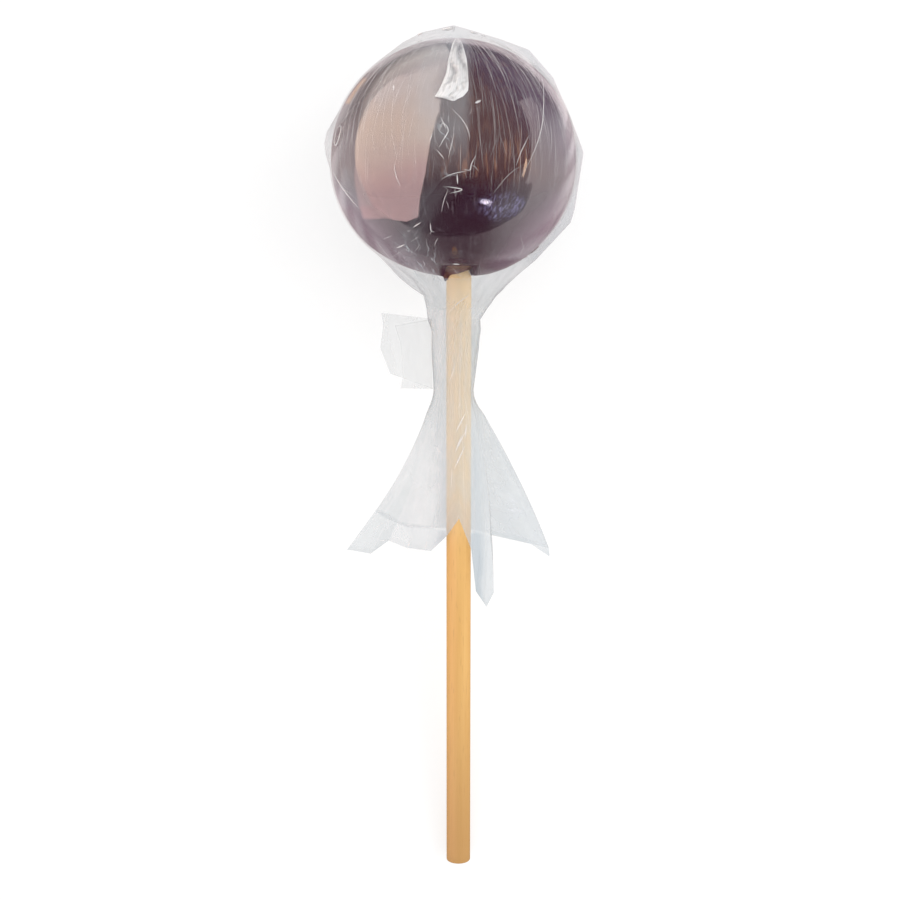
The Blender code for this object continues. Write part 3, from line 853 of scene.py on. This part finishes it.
def clear_film_finish(name, milk_colour, least_gloss):
    """Clear film: mostly see-through, glossy, and milky where it is hazy; the haze also holds painted shade,
    painted facets and painted highlights.
    """
    material, tree = new_finish(name)
    inputs = {socket: marked(tree, socket.lower()) for socket in ("Haze", "Combed", "Crushed")}
    inputs |= {"Run": marked(tree, "run", "Vector"), "Hair Milk And Glint": HAIR_MILK_AND_GLINT, "Fold Milk And Glint": FOLD_MILK_AND_GLINT}
    look = add_node(tree, "ShaderNodeGroup", inputs, node_tree=film_milk_and_glints).outputs
    facing = add_node(tree, "ShaderNodeLayerWeight", {"Blend": 0.5}).outputs["Facing"]
    aslant = spread(tree, facing, 0.2, 0.6, -0.75, 0.0)
    milk = product(tree, look["Milk"], sums(tree, "MULTIPLY_ADD", marked(tree, "slant"), aslant, 1.0))
    gloss = sums(tree, "MULTIPLY_ADD", sums(tree, "POWER", facing, 5.0), 0.22, least_gloss)
    gloss = product(tree, gloss, marked(tree, "shine"))
    solid = sums(tree, "MULTIPLY_ADD", sums(tree, "SUBTRACT", 1.0, gloss), milk, gloss)
    mirrored = sums(tree, "DIVIDE", gloss, sums(tree, "MAXIMUM", solid, 0.001), clamp=True)
    # The film stops little of the light that falls through it
    rays = add_node(tree, "ShaderNodeLightPath").outputs
    lit_through = sums(tree, "MAXIMUM", rays["Is Shadow Ray"], rays["Is Diffuse Ray"])
    solid = product(tree, solid, sums(tree, "MULTIPLY_ADD", lit_through, -0.75, 1.0))
    end_finish(tree, {
        "Base Color": tint(tree, mirrored, (*milk_colour, 1), (1, 1, 1, 1)), "Metallic": mirrored,
        "Roughness": 0.05, "Specular IOR Level": 0.1, "Alpha": solid,
        "Normal": raised(tree, look["Height"], 0.2, 0.2 * MM),
    })
    return material


def write_mark(mesh, name, values):
    """Writes a value on each point of a mesh, or a vector if the values have three columns."""
    values = np.asarray(values, np.float32)
    kind, field = ("FLOAT", "value") if values.ndim == 1 else ("FLOAT_VECTOR", "vector")
    mesh.attributes.new(name, kind, "POINT").data.foreach_set(field, values.ravel())


def mark_sheet(mesh, rows, at_pole=0.0, **shares):
    """Writes the named shares on a sheet's points, and their run: how far round and down the sheet they are.

    A pole that closes the sheet has the same value for every share."""
    turn = (np.arange(rows.shape[1]) * 2 * np.pi / rows.shape[1])[None, :]
    steps = np.linalg.norm(np.diff(rows, axis=0), axis=-1).mean(axis=1, keepdims=True)
    down = np.vstack([np.zeros((1, 1)), np.cumsum(steps, axis=0)]) + 0 * turn
    across, round_up = (BALL_RADIUS * wave(turn) + 0 * down for wave in (np.cos, np.sin))
    run = np.stack([across, round_up, down], axis=-1)
    poles = len(mesh.vertices) - down.size
    for name, share in shares.items():
        write_mark(mesh, name, np.append((share + 0 * down).ravel(), np.full(poles, at_pole)))
    write_mark(mesh, "run", np.concatenate([run.reshape(-1, 3), np.zeros((poles, 3))]))


smooth_sheet, stages = film_rows()
sheet = kept_clear(gathered(smooth_sheet, stages))
film_mesh = sheet_mesh(sheet, True, crown=(0, BALL_HALF_LENGTH + FILM_CLEAR + 1.5 * MM, 0))
# Slant is how far the film is milky only when it is seen aslant, as it is where it stands out beside the ball
mark_sheet(
    film_mesh, sheet, 0.1, haze=film_haze_and_painted_light(sheet, stages),
    # The rim's painted facets also make the film glossier and duller by turns
    shine=(1 - 0.75 * ease(stages, 1.3, 3.0))[:, None] + 0.75 * painted_rim_facets(sheet),
    slant=(1 - over_candy(sheet, stages)) * (1 - ease(stages, 0.95, 1.1))[:, None],
    combed=combed_share(sheet, stages), crushed=crushed_share(sheet),
)
film_milk_and_glints = film_milk_and_glints_group()
clear_film = clear_film_finish("clear_film", (0.475, 0.515, 0.545), 0.06)
film = lay_down("wrapping_film", film_mesh, clear_film)
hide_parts("wrapper")


# ---- The film's creases and its tucked crown ---------------------------------------------------
# Where the tight film is nipped it stands up in fine creases, and at the crown its spare corner is tucked
# down in a crumpled bunch.
# Both are milky white, partly as whitened film and partly as painted highlights. They are the film itself, so
# they only lie on it.

# Each crease as a line of x and y in mm from the ball's centre, and its half-width in mm
CREASES = [
    (0.11, [(26.0, 24.5), (26.5, 19.8), (25.9, 9.9), (24.3, 3.3), (21.5, -3.1), (19.5, -6.5)]),
    (0.05, [(20.5, -3.1), (15.9, -6.2), (11.0, -12.0)]),
    (0.15, [(-36.8, -4.0), (-33.8, -8.8), (-30.5, -13.0), (-27.9, -15.8)]),
    (0.16, [(-4.2, 7.0), (-2.8, 7.7), (-1.6, 5.8), (-3.0, 3.2), (-4.2, 1.0)]),
    (0.13, [(-3.8, 9.7), (-2.1, 6.0)]),
    (0.10, [(-0.4, 11.8), (2.6, 8.5), (4.3, 5.1), (4.5, 2.7)]),
    (0.09, [(0.1, 5.1), (-0.6, 2.2), (-1.6, -2.1)]),
    (0.12, [(-4.7, 0.3), (-2.8, -2.1)]),
    (0.12, [(6.2, -1.1), (5.0, -3.5), (4.5, -5.2), (2.6, -4.9)]),
    (0.10, [(-3.3, -7.6), (-0.8, -6.4), (3.6, -5.4)]),
    (0.20, [(0.9, -6.3), (1.1, -9.1)]),
    (0.15, [(-2.5, -9.7), (2.3, -10.6), (-1.1, -11.7)]),
    (0.08, [(-1.6, -10.7), (-2.8, -13.5), (-3.6, -16.9)]),
    (0.14, [(-6.8, -20.0), (-6.6, -22.2), (-5.6, -22.5)]),
    (0.35, [(6.0, 13.6), (7.7, 14.4)]),
    (0.20, [(-35.1, 8.5), (-33.6, 8.7), (-34.1, 5.7), (-35.3, 3.3), (-36.0, 4.5), (-35.1, 8.5)]),
    (0.22, [(-17.2, -27.2), (-14.6, -26.2)]),
    (0.18, [(-11.9, -21.2), (-9.6, -19.8)]),
    (0.20, [(-17.4, 19.4), (-17.4, 17.6)]),
    (0.10, [(-17.1, -3.3), (-16.6, -6.7), (-15.2, -9.8)]),
    (0.12, [(-6.9, 2.7), (-6.0, 5.1)]),
    (0.10, [(21.7, 5.1), (19.1, -0.3), (17.9, -3.7)]),
    (0.30, [(-11.0, 34.0), (-9.5, 34.5)]),
    (0.35, [(-11.2, 37.2), (-9.4, 37.7)]),
    (0.55, [(-3.6, 38.5), (0.2, 38.9)]),
    (0.30, [(4.8, 38.0), (7.4, 37.2)]),
    (0.25, [(8.4, 36.9), (9.8, 36.4)]),
    (0.16, [(0.4, -62.7), (-0.3, -66.4), (-1.6, -69.2)]),
    (0.10, [(5.9, -44.8), (4.7, -47.0)]),
    (0.12, [(-1.3, -74.7), (-2.5, -76.2)]),
    (0.22, [(2.7, -86.0), (0.7, -91.0)]),
    (0.24, [(4.1, -82.4), (3.7, -87.1)]),
    (0.22, [(3.9, -78.7), (0.7, -85.0)]),
    (0.10, [(2.1, -75.7), (1.3, -77.7)]),
    (0.10, [(-5.8, -89.9), (-3.8, -92.2)]),
    (0.14, [(-1.7, -47.4), (1.5, -44.0), (5.0, -41.2)]),
    (0.12, [(10.6, -40.8), (6.6, -44.0), (5.1, -46.0)]),
    (0.20, [(0.6, -91.3), (3.8, -84.7)]),
    (0.22, [(0.3, -96.7), (3.6, -89.4)]),
    (0.20, [(-0.3, -31.9), (1.8, -32.0)]),
    (0.10, [(-14.6, -97.8), (-11.5, -102.6)]),
    (0.12, [(-25.7, -117.4), (-22.6, -115.0)]),
    (0.12, [(-23.8, -121.3), (-21.4, -121.0)]),
    (0.12, [(-13.7, -119.6), (-15.0, -123.8)]),
    (0.10, [(-8.7, -121.1), (-9.1, -124.5)]),
    (0.10, [(-9.1, -102.3), (-7.7, -101.9)]),
    (0.10, [(-12.7, -104.8), (-9.9, -102.6)]),
    (0.10, [(-0.4, -96.5), (-0.8, -103.1)]),
]
CREASE_STEP = 0.5 * MM
# How milky the creases are: partly whitened film, partly painted highlights
CREASE_HAZE_AND_HIGHLIGHT = 0.5
# How many fine creases there are: in the skirt, in the crumple, by the lap, at the rim and all over the ball
SKIRT_CREASES = 34
CRUMPLE_CREASES = 14
LAP_CREASES = 16
RIM_CREASES = 30
FINE_CREASES = 320

# The tucked bunch: y, then its left and right edges, in mm from the ball's centre
TUCK_EDGES = [
    (34.6, 0.4, 1.6), (32.0, -0.5, 2.6), (27.0, -1.5, 3.7), (22.4, -2.2, 4.1), (18.8, -3.6, 4.2),
    (17.1, -4.4, 4.0), (15.4, -5.6, 2.6), (14.9, -2.6, 1.4), (14.2, -0.6, 0.2),
]
TUCK_ROWS = 70
TUCK_COLUMNS = 40


def on_film(x, y):
    """How high the shown side of the film is, above places on it, by the nearest points of its rows."""
    spots = sheet[sheet[..., 2] > 0]
    near = KDTree(len(spots))
    for k, spot in enumerate(spots):
        near.insert((spot[0], spot[1], 0), k)
    near.balance()
    heights = []
    for px, py in zip(x, y):
        found = near.find_n((px, py, 0), 6)
        weights = [1 / (gap + 0.05 * MM) ** 2 for _, _, gap in found]
        heights.append(sum(spots[k, 2] * w for (_, k, _), w in zip(found, weights)) / sum(weights))
    return np.array(heights)


def laid_on_film(corners):
    """A smooth line through corners, given as x and y in mm, laid on the shown side of the film."""
    flat = smooth_line(np.array(corners) * MM, CREASE_STEP)
    return np.column_stack([flat, on_film(flat[:, 0], flat[:, 1])])


def short_bend(rng, start, heading, longest, sway):
    """The corners of a short bent crease, in mm."""
    length = rng.uniform(0.8, longest)
    way = np.array([math.cos(heading), math.sin(heading)])
    bend = start + length * 0.5 * way + rng.normal(0, sway, 2)
    return np.array([start, bend, start + length * way])


def crease_lines():
    """Every crease as a half-width and a line of points on the film: those listed, then many fine ones."""
    lines = [(half_width * MM, laid_on_film(corners)) for half_width, corners in CREASES]
    rng = np.random.default_rng(11)
    for _ in range(SKIRT_CREASES):
        column = rng.integers(FILM_COLUMNS)
        first = rng.integers(HOOD_ROWS + FUNNEL_ROWS // 2, len(sheet) - 24)
        path = sheet[first : first + rng.integers(14, 70), (column + rng.integers(0, 3)) % FILM_COLUMNS]
        lines.append((rng.uniform(0.02, 0.05) * MM, path[::2]))
    for _ in range(CRUMPLE_CREASES):
        start = np.array([rng.uniform(-19, -3), rng.uniform(-34, -21)])
        heading = math.atan2(start[1], start[0]) + rng.normal(0, 0.5)
        corners = short_bend(rng, start, heading, 4.0, 0.3)
        if np.hypot(*corners[1:].T).max() < 35.5:
            lines.append((rng.uniform(0.03, 0.07) * MM, laid_on_film(corners)))
    for _ in range(LAP_CREASES):
        start = np.array([rng.uniform(-4, 6), rng.uniform(-14, 14)])
        corners = short_bend(rng, start, rng.normal(-1.6, 0.5), 4.5, 0.35)
        lines.append((rng.uniform(0.02, 0.05) * MM, laid_on_film(corners)))
    for _ in range(RIM_CREASES):
        angle = rng.uniform(0, 2 * math.pi)
        reach = np.array([rng.uniform(31, 35), rng.uniform(35.5, 37)])
        turned = np.array([angle, angle + rng.normal(0, 0.10)])
        ends = np.column_stack([reach * np.sin(turned), reach * np.cos(turned)])
        corners = [ends[0], ends.mean(axis=0) + rng.normal(0, 0.3, 2), ends[1]]
        lines.append((rng.uniform(0.03, 0.05) * MM, laid_on_film(corners)))
    for _ in range(FINE_CREASES):
        polar = rng.uniform(0.4, 1.7)
        turn = rng.uniform(-1.1, 1.1)
        length = rng.uniform(0.12, 0.55)
        path = polar + np.linspace(-length / 2, length / 2, 12)
        sway = turn + rng.uniform(-0.03, 0.03) * np.linspace(-1, 1, 12)
        way = directions(path, sway)
        lines.append((rng.uniform(0.012, 0.032) * MM, way * (taut_radius(way) + 0.02 * MM)[:, None]))
    return lines


def crease_tree():
    """Geometry nodes that draw each line out as a thin raised fold, thickest in its middle."""
    tree, given = new_shape_tree("film_creases", "Thickness")
    curves = add_node(tree, "GeometryNodeMeshToCurve", {"Mesh": given["Geometry"]}).outputs[0]
    along = add_node(tree, "GeometryNodeSplineParameter").outputs["Factor"]
    swell = sums(tree, "SINE", product(tree, along, math.pi))
    inputs = {"Name": "half_width"}
    wide = add_node(tree, "GeometryNodeInputNamedAttribute", inputs, data_type="FLOAT").outputs[0]
    thick = product(tree, wide, given["Thickness"], sums(tree, "MULTIPLY_ADD", swell, 0.85, 0.15))
    ring = add_node(tree, "GeometryNodeCurvePrimitiveCircle", {"Resolution": 8, "Radius": 1.0}).outputs[0]
    inputs = {"Curve": curves, "Profile Curve": ring, "Scale": thick, "Fill Caps": True}
    return end_shape_tree(tree, given, add_node(tree, "GeometryNodeCurveToMesh", inputs).outputs[0])


def crease_mesh(film_finish):
    """All the creases as one mesh of thin raised folds."""
    points, edges, widths = [], [], []
    for half_width, line in crease_lines():
        edges += [(len(points) + k, len(points) + k + 1) for k in range(len(line) - 1)]
        points += [tuple(p) for p in line]
        widths += [half_width] * len(line)
    mesh = bpy.data.meshes.new("crease_lines")
    mesh.from_pydata(points, edges, [])
    write_mark(mesh, "half_width", widths)
    made = shaped_by(crease_tree(), mesh, Thickness=1.0, Finish=film_finish)
    count = len(made.vertices)
    for name, value in (("haze", CREASE_HAZE_AND_HIGHLIGHT), ("shine", 1.0), ("combed", 0.0), ("crushed", 0.0)):
        write_mark(made, name, np.full(count, value))
    places = np.empty(count * 3, np.float32)
    made.vertices.foreach_get("co", places)
    write_mark(made, "run", places.reshape(-1, 3))
    return made


def tuck_rows():
    """The bunch at the crown as rows of points, crushed into ridges that run down, and its milkiness:
    whitened film, with painted highlights on the ridges and edges.
    """
    edges = np.array(TUCK_EDGES)[::-1]
    y = np.linspace(TUCK_EDGES[0][0], TUCK_EDGES[-1][0], TUCK_ROWS)
    left, right = (np.interp(y, edges[:, 0], edges[:, k]) for k in (1, 2))
    share = np.linspace(0, 1, TUCK_COLUMNS)[None, :]
    x = left[:, None] + (right - left)[:, None] * share
    y = np.repeat(y[:, None], TUCK_COLUMNS, axis=1)
    heights = on_film(x.ravel() * MM, y.ravel() * MM).reshape(x.shape)
    fan = (x - (left + right)[:, None] / 2) / (right - left)[:, None]
    low = ease(-y, -24, -16)
    rng = np.random.default_rng(4)
    ridges = 0.5 + 0.5 * np.cos(2 * np.pi * (1.6 * fan + 0.35 * np.sin(0.5 * y)))
    for _ in range(9):
        lean_x, lean_y = rng.normal(0, 1.0), rng.normal(0, 1.0)
        bent = lean_x * x + lean_y * y + 0.6 * np.sin(0.9 * y + rng.uniform(0, 6.3))
        ridges += (0.25 + 0.75 * low) * (np.abs(np.sin(bent + rng.uniform(0, 6.3))) - 0.5) * 0.42
    ridges = np.clip(ridges, 0, 1)
    rim = np.sin(np.pi * share) ** 0.4 * ease(np.arange(TUCK_ROWS), 0, 5)[:, None]
    rim = rim * ease(TUCK_ROWS - 1 - np.arange(TUCK_ROWS), 0, 5)[:, None]
    lift = 0.08 * MM + (0.25 + 0.8 * ridges) * MM * rim
    window = np.exp(-(((fan - 0.1) / 0.22) ** 2 + ((y - 31.0) / 2.6) ** 2))
    # The ridges and the edges are whiter: partly whitened film, partly painted highlights
    haze = 0.36 + 0.35 * ridges + 0.22 * low + 0.3 * (share < 0.12) + 0.15 * (share > 0.93) - 0.42 * window
    return np.stack([x * MM, y * MM, heights + lift], axis=-1), np.clip(haze, 0.05, 0.95)


creases_and_highlights_finish = clear_film_finish("creased_film_and_highlights", (0.76, 0.75, 0.75), 0.06)
lay_down("film_creases", crease_mesh(creases_and_highlights_finish), creases_and_highlights_finish)
bunch_rows, bunch_haze_and_highlight = tuck_rows()
bunch_mesh = sheet_mesh(bunch_rows, False)
mark_sheet(bunch_mesh, bunch_rows, haze=bunch_haze_and_highlight, shine=0.6, combed=0.0, crushed=0.6)
lay_down("tucked_crown", bunch_mesh, creases_and_highlights_finish)


# ---- The tape ----------------------------------------------------------------------------------
# A strip of clear tape is wound once round the gathered film, and its ends are stuck to each other as a
# flag on the left. The front end is a little longer and was torn off unevenly.

TAPE_TOP = -49.4  # mm, as are the foot and the root, where the flag leaves the neck
TAPE_FOOT = -71.8
TAPE_LIFT = 0.25 * MM
TAPE_ROWS = 36
TAPE_PLY_COLUMNS = 40
TAPE_BAND_COLUMNS = 120
TAPE_ROOT = 8.25
FRONT_PLY = slice(None, TAPE_PLY_COLUMNS)
BACK_PLY = slice(-TAPE_PLY_COLUMNS, None)
ROUND_NECK = slice(TAPE_PLY_COLUMNS, -TAPE_PLY_COLUMNS)

# The torn ends, from top to foot: x from the stick's axis and y, in mm
FRONT_END = [(-24.6, -47.5), (-23.9, -51.1), (-24.9, -58.7), (-21.8, -66.8), (-17.8, -68.2)]
BACK_END = [(-20.3, -51.5), (-18.4, -57.4), (-17.9, -68.3), (-18.5, -71.5)]


def torn_end(corners, down):
    """Where the torn end is, for shares of the tape's width from its top."""
    corners = np.array(corners)
    steps = np.concatenate([[0], np.cumsum(np.linalg.norm(np.diff(corners, axis=0), axis=1))])
    return [np.interp(down * steps[-1], steps, corners[:, k]) for k in (0, 1)]


def tape_rows():
    """The tape in rows across its width, along it from one torn end, round the neck, to the other."""
    down = np.linspace(0, 1, TAPE_ROWS)
    level = TAPE_TOP + (TAPE_FOOT - TAPE_TOP) * down
    columns = []
    out = np.linspace(1, 0, TAPE_PLY_COLUMNS, endpoint=False)
    for corners, side in ((FRONT_END, 1), (BACK_END, -1)):
        end_x, end_y = torn_end(corners, down)
        ply = []
        for s in out if side > 0 else out[::-1]:
            x = -TAPE_ROOT + (end_x + TAPE_ROOT) * s
            y = level + (end_y - level) * s
            bow = 0.35 * math.sin(2.2 * math.pi * s) * s
            ply.append(np.stack([STICK_X + x * MM, y * MM, (0.12 * side + bow) * MM + 0 * x], axis=-1))
        columns.append(ply)
    band = []
    for step in range(TAPE_BAND_COLUMNS + 1):
        turn = np.pi / 2 - 2 * np.pi * step / TAPE_BAND_COLUMNS
        ring = np.array([neck_row(y * MM, np.array([turn]))[0] for y in level])
        away = ring - np.stack([STICK_X + 0 * level, level * MM, 0 * level], axis=-1)
        size = np.linalg.norm(away, axis=1, keepdims=True)
        band.append(ring + away / size * TAPE_LIFT)
    return np.stack(columns[0] + band + columns[1], axis=1)


def lone_share(rows):
    """Where one end of the tape reaches past the other, so that there the flag is single."""
    x, y = (rows[..., 0] - STICK_X) / MM, rows[..., 1] / MM
    side, top, foot = np.array(BACK_END)[::-1], BACK_END[0], FRONT_END[-1]
    past = np.interp(y, side[:, 1], side[:, 0]) - x
    over = y - np.interp(x, (top[0], -TAPE_ROOT), (top[1], TAPE_TOP))
    under = np.interp(x, (foot[0], -TAPE_ROOT), (foot[1], TAPE_FOOT)) - y
    share = np.zeros(x.shape)
    share[:, FRONT_PLY] = ease(np.maximum(past, over), -0.2, 0.2)[:, FRONT_PLY]
    share[:, BACK_PLY] = ease(under, -0.2, 0.2)[:, BACK_PLY]
    return share


def strip_haze(rows):
    """How milky the tape is: a little in its flag, more where that is single, and most along its edges."""
    haze = 0.20 + 0.16 * lone_share(rows)
    haze[:, ROUND_NECK] = 0.0
    haze[:, [0, -1]] = 0.45
    haze[[0, -1], FRONT_PLY] = 0.35
    haze[[0, -1], BACK_PLY] = 0.35
    return haze


strip_rows = tape_rows()
strip_shine = np.full(strip_rows.shape[:2], 0.8)
strip_shine[:, ROUND_NECK] = 0.1
tape_mesh = sheet_mesh(strip_rows, False)
mark_sheet(tape_mesh, strip_rows, haze=strip_haze(strip_rows), shine=strip_shine, combed=0.15, crushed=0.0)
clear_tape = clear_film_finish("clear_tape", (0.57, 0.58, 0.59), 0.035)
tape = lay_down("tape_strip", tape_mesh, clear_tape)
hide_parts("tape")


# ---- The studio --------------------------------------------------------------------------------
# A pale table that glows a little, an even sky for soft light, and cards that only show as reflections.

TABLE_SIZE = 6.0
LAMP_PLACE = (1.15, 0.25, 0.95)
CAMERA_PLACE = (-1.1 * MM, 4.8 * MM, 463.0 * MM)
LENS = 54.56  # mm, on a sensor 36 mm wide


def lay_table():
    """A pale table that glows evenly; in reflections it shows the uneven light of a room instead."""
    material, tree = new_finish("pale_table")
    places = add_node(tree, "ShaderNodeTexCoord").outputs["Object"]
    paper = tint(tree, mottle(tree, places, 300.0, 3.0), (0.34, 0.34, 0.34, 1), (0.36, 0.36, 0.36, 1))
    parts = add_node(tree, "ShaderNodeSeparateXYZ", {0: places}).outputs
    x = sums(tree, "SUBTRACT", parts[0], lie.translation.x)
    y = sums(tree, "SUBTRACT", parts[1], lie.translation.y)
    away = sums(tree, "SQRT", total(tree, product(tree, x, x), product(tree, y, y)))
    east, north = sums(tree, "DIVIDE", x, away), sums(tree, "DIVIDE", y, away)
    # What the ball mirrors of the table near it, and of the table farther off
    near = total(
        tree, sums(tree, "MULTIPLY_ADD", north, 0.14, 0.86), spread(tree, east, 0.2, 0.9, 0.0, 0.55),
        spread(tree, north, -0.2, -0.7, 0.0, -0.3), spread(tree, east, -0.94, -0.99, 0.0, 0.35),
        spread(tree, total(tree, east, north), -0.9, -1.35, 0.0, 0.5),
    )
    near = product(tree, near, spread(tree, away, 0.045, 0.085, 0.62, 1.05), spread(tree, away, 0.108, 0.106))
    far = total(tree, spread(tree, east, 0.1, 0.9, 0.25, 1.25), spread(tree, east, -0.3, -0.8, 0.0, 1.4))
    far = product(tree, far, spread(tree, north, 0.2, 0.6, 1.0, 0.35), spread(tree, away, 0.106, 0.108))
    ray = add_node(tree, "ShaderNodeLightPath").outputs["Is Glossy Ray"]
    plain = product(tree, sums(tree, "SUBTRACT", 1.0, ray), 0.66)
    end_finish(tree, {
        "Base Color": tint(tree, ray, paper, (0, 0, 0, 1)), "Roughness": 1.0, "Specular IOR Level": 0.0,
        "Emission Color": tint(tree, ray, (1, 1, 1, 1), (1, 0.88, 0.89, 1)),
        "Emission Strength": total(tree, product(tree, ray, total(tree, near, far)), plain),
    })
    half = TABLE_SIZE / 2
    mesh = bpy.data.meshes.new("table")
    corners = [(-half, -half, 0), (half, -half, 0), (half, half, 0), (-half, half, 0)]
    mesh.from_pydata(corners, [], [(0, 1, 2, 3)])
    mesh.materials.append(material)
    placed("table", mesh)


def light_sky():
    """Pale to look at and even for soft light, but dark in reflections, as in a studio with the room dark."""
    world = bpy.data.worlds.new("studio")
    bpy.context.scene.world = world
    world.use_nodes = True
    tree = world.node_tree
    tree.nodes.clear()
    ray = add_node(tree, "ShaderNodeLightPath").outputs["Is Glossy Ray"]
    pale = add_node(tree, "ShaderNodeBackground", {"Color": (1, 1, 1, 1), "Strength": 1.05}).outputs[0]
    dark = add_node(tree, "ShaderNodeBackground", {"Color": (0.9, 0.93, 1, 1), "Strength": 0.03}).outputs[0]
    both = add_node(tree, "ShaderNodeMixShader", {0: ray, 1: pale, 2: dark}).outputs[0]
    add_node(tree, "ShaderNodeOutputWorld", {0: both})


def hang_card(name, corners, stops, centre=None, radii=(1, 1, 1), streaks=0.0):
    """A flat glowing card, its corners in metres from the ball's centre, that shows only in reflections.

    Each stop is a place along Y and the light that the card gives there. With a centre, each stop is a share
    of the radii from it, along the card's first edge and across it."""
    material, tree = new_finish(name)
    places = add_node(tree, "ShaderNodeTexCoord").outputs["Object"]
    first, second, third = (Vector(corner) for corner in corners[:3])
    along = (second - first).normalized()
    square = along.cross(third - second).normalized()
    turn = Matrix((along, square.cross(along), square)).transposed().to_euler() if centre else (0, 0, 0)
    start = lie.translation + Vector(centre or (0, 0, 0))
    inputs = {"Vector": places, "Location": start, "Rotation": turn, "Scale": radii}
    on_card = add_node(tree, "ShaderNodeMapping", inputs, vector_type="TEXTURE").outputs[0]
    if centre:
        step = add_node(tree, "ShaderNodeVectorMath", {0: on_card}, operation="LENGTH").outputs["Value"]
    else:
        step = add_node(tree, "ShaderNodeSeparateXYZ", {0: on_card}).outputs[1]
    light = (*stops[0][1], 1)
    for (low, _), (high, seen) in zip(stops, stops[1:]):
        light = tint(tree, spread(tree, step, low, high), light, (*seen, 1))
    grain = mottle(tree, stretched(tree, on_card, 1.0, 0.18, 1.0), 16.0, 2.0, 0.7)
    strength = spread(tree, grain, 0.46, 0.64, 1.0 - streaks, 1.0 + 2.0 * streaks)
    end_finish(tree, {"Color": light, "Strength": strength}, "ShaderNodeEmission")
    origin = lie.translation
    points = [(x + origin.x, y + origin.y, max(0.002, z + origin.z)) for x, y, z in corners]
    middle = tuple(sum(p[k] for p in points) / len(points) for k in range(3))
    faces = [(len(points), k, (k + 1) % len(points)) for k in range(len(points))]
    mesh = bpy.data.meshes.new(name)
    mesh.from_pydata([*points, middle], [], faces)
    mesh.materials.append(material)
    card = placed(name, mesh)
    for rays in ("camera", "diffuse", "shadow", "transmission"):
        setattr(card, "visible_" + rays, False)


def shine_from_right():
    """A large soft lamp to the right of the lollipop, which doesn't show in reflections."""
    lamp = bpy.data.lights.new("soft_lamp", "AREA")
    lamp.shape = "SQUARE"
    lamp.size = 1.2
    lamp.energy = 7.0
    hung = placed("soft_lamp", lamp)
    hung.location = LAMP_PLACE
    hung.rotation_euler = (-Vector(LAMP_PLACE)).to_track_quat("-Z", "Y").to_euler()
    hung.visible_glossy = False


def set_camera():
    """The camera looks straight down, a little to the left of the middle."""
    lens = bpy.data.cameras.new("camera")
    lens.sensor_width = 36.0
    lens.lens = LENS
    lens.clip_start = 0.01
    camera = placed("camera", lens)
    camera.location = CAMERA_PLACE
    bpy.context.scene.camera = camera


lay_table()
light_sky()
hang_card(
    "left_softbox",
    [(-0.115, 0.76, 0.47), (-0.117, 0.30, 0.47), (-0.178, 0.0, 0.47), (-0.23, -0.20, 0.47),
     (-0.265, -0.50, 0.168), (-0.34, -0.50, 0.06), (-0.34, -0.31, -0.037), (-0.34, 0.76, -0.037),
     (-0.007, 0.76, -0.037)],
    [(-0.16, (3.95, 2.6, 2.5)), (0.10, (5.45, 4.15, 3.35)), (0.36, (5.0, 4.2, 3.8)), (0.75, (3.0, 2.6, 2.5))],
)
hang_card(
    "upper_reflector",
    [(-0.007, 0.111, -0.036), (-0.007, 0.74, -0.036), (-0.33, 0.74, -0.036), (-0.33, 0.113, -0.036),
     (-0.121, 0.108, -0.036), (-0.051, 0.105, -0.036)],
    [(0.10, (1.0, 0.9, 0.85)), (0.20, (2.6, 2.3, 2.1)), (0.74, (3.0, 2.6, 2.5))],
)
hang_card(
    "lower_reflector",
    [(-0.094, -0.057, -0.036), (-0.146, -0.056, -0.036), (-0.33, 0.0, -0.036), (-0.33, -0.30, -0.036),
     (-0.22, -0.185, -0.036)],
    [(-0.3, (3.5, 2.45, 2.35)), (0.0, (3.2, 2.2, 2.1))],
)
hang_card(
    "right_card", [(0.5, 0.45, 0.16), (0.5, -0.45, 0.16), (0.5, -0.45, -0.04), (0.5, 0.45, -0.04)],
    [(-0.4, (1.2, 1.05, 1.06)), (0.4, (1.4, 1.25, 1.22))],
)
hang_card(
    "blue_lamp",
    [(0.091, -0.218, 0.467), (0.497, -0.164, 0.084), (0.475, -0.36, 0.0), (0.28, -0.45, 0.02),
     (0.023, -0.477, 0.257)],
    [(0.0, (0.70, 0.70, 1.10)), (0.55, (0.48, 0.48, 0.85)), (1.0, (0.03, 0.03, 0.05))],
    centre=(0.30, -0.325, 0.125), radii=(0.25, 0.13, 1.0), streaks=0.85,
)
hang_card(
    "lamp_core",
    [(0.163, -0.306, 0.281), (0.235, -0.296, 0.213), (0.227, -0.328, 0.187), (0.155, -0.338, 0.255)],
    [(0.0, (13.0, 11.5, 12.5)), (0.5, (6.0, 5.5, 7.0)), (1.0, (0.9, 0.8, 1.4))],
    centre=(0.195, -0.317, 0.234), radii=(0.05, 0.026, 1.0), streaks=0.6,
)
hang_card(
    "warm_window",
    [(0.473, -0.012, 0.203), (0.47, -0.03, 0.213), (0.47, -0.10, 0.217), (0.472, -0.158, 0.208),
     (0.476, -0.158, 0.196), (0.476, -0.09, 0.19), (0.475, -0.03, 0.197)],
    [(-0.12, (5.0, 3.3, 2.2)), (0.03, (6.5, 4.6, 3.2))],
)
hang_card(
    "warm_sheet",
    [(-0.055, 0.037, -0.037), (-0.075, 0.050, -0.037), (-0.060, 0.067, -0.037), (-0.044, 0.049, -0.037)],
    [(0.02, (1.5, 1.08, 0.85)), (0.06, (1.5, 1.08, 0.85))],
)
shine_from_right()
set_camera()
bpy.context.scene.view_settings.view_transform = "Standard"
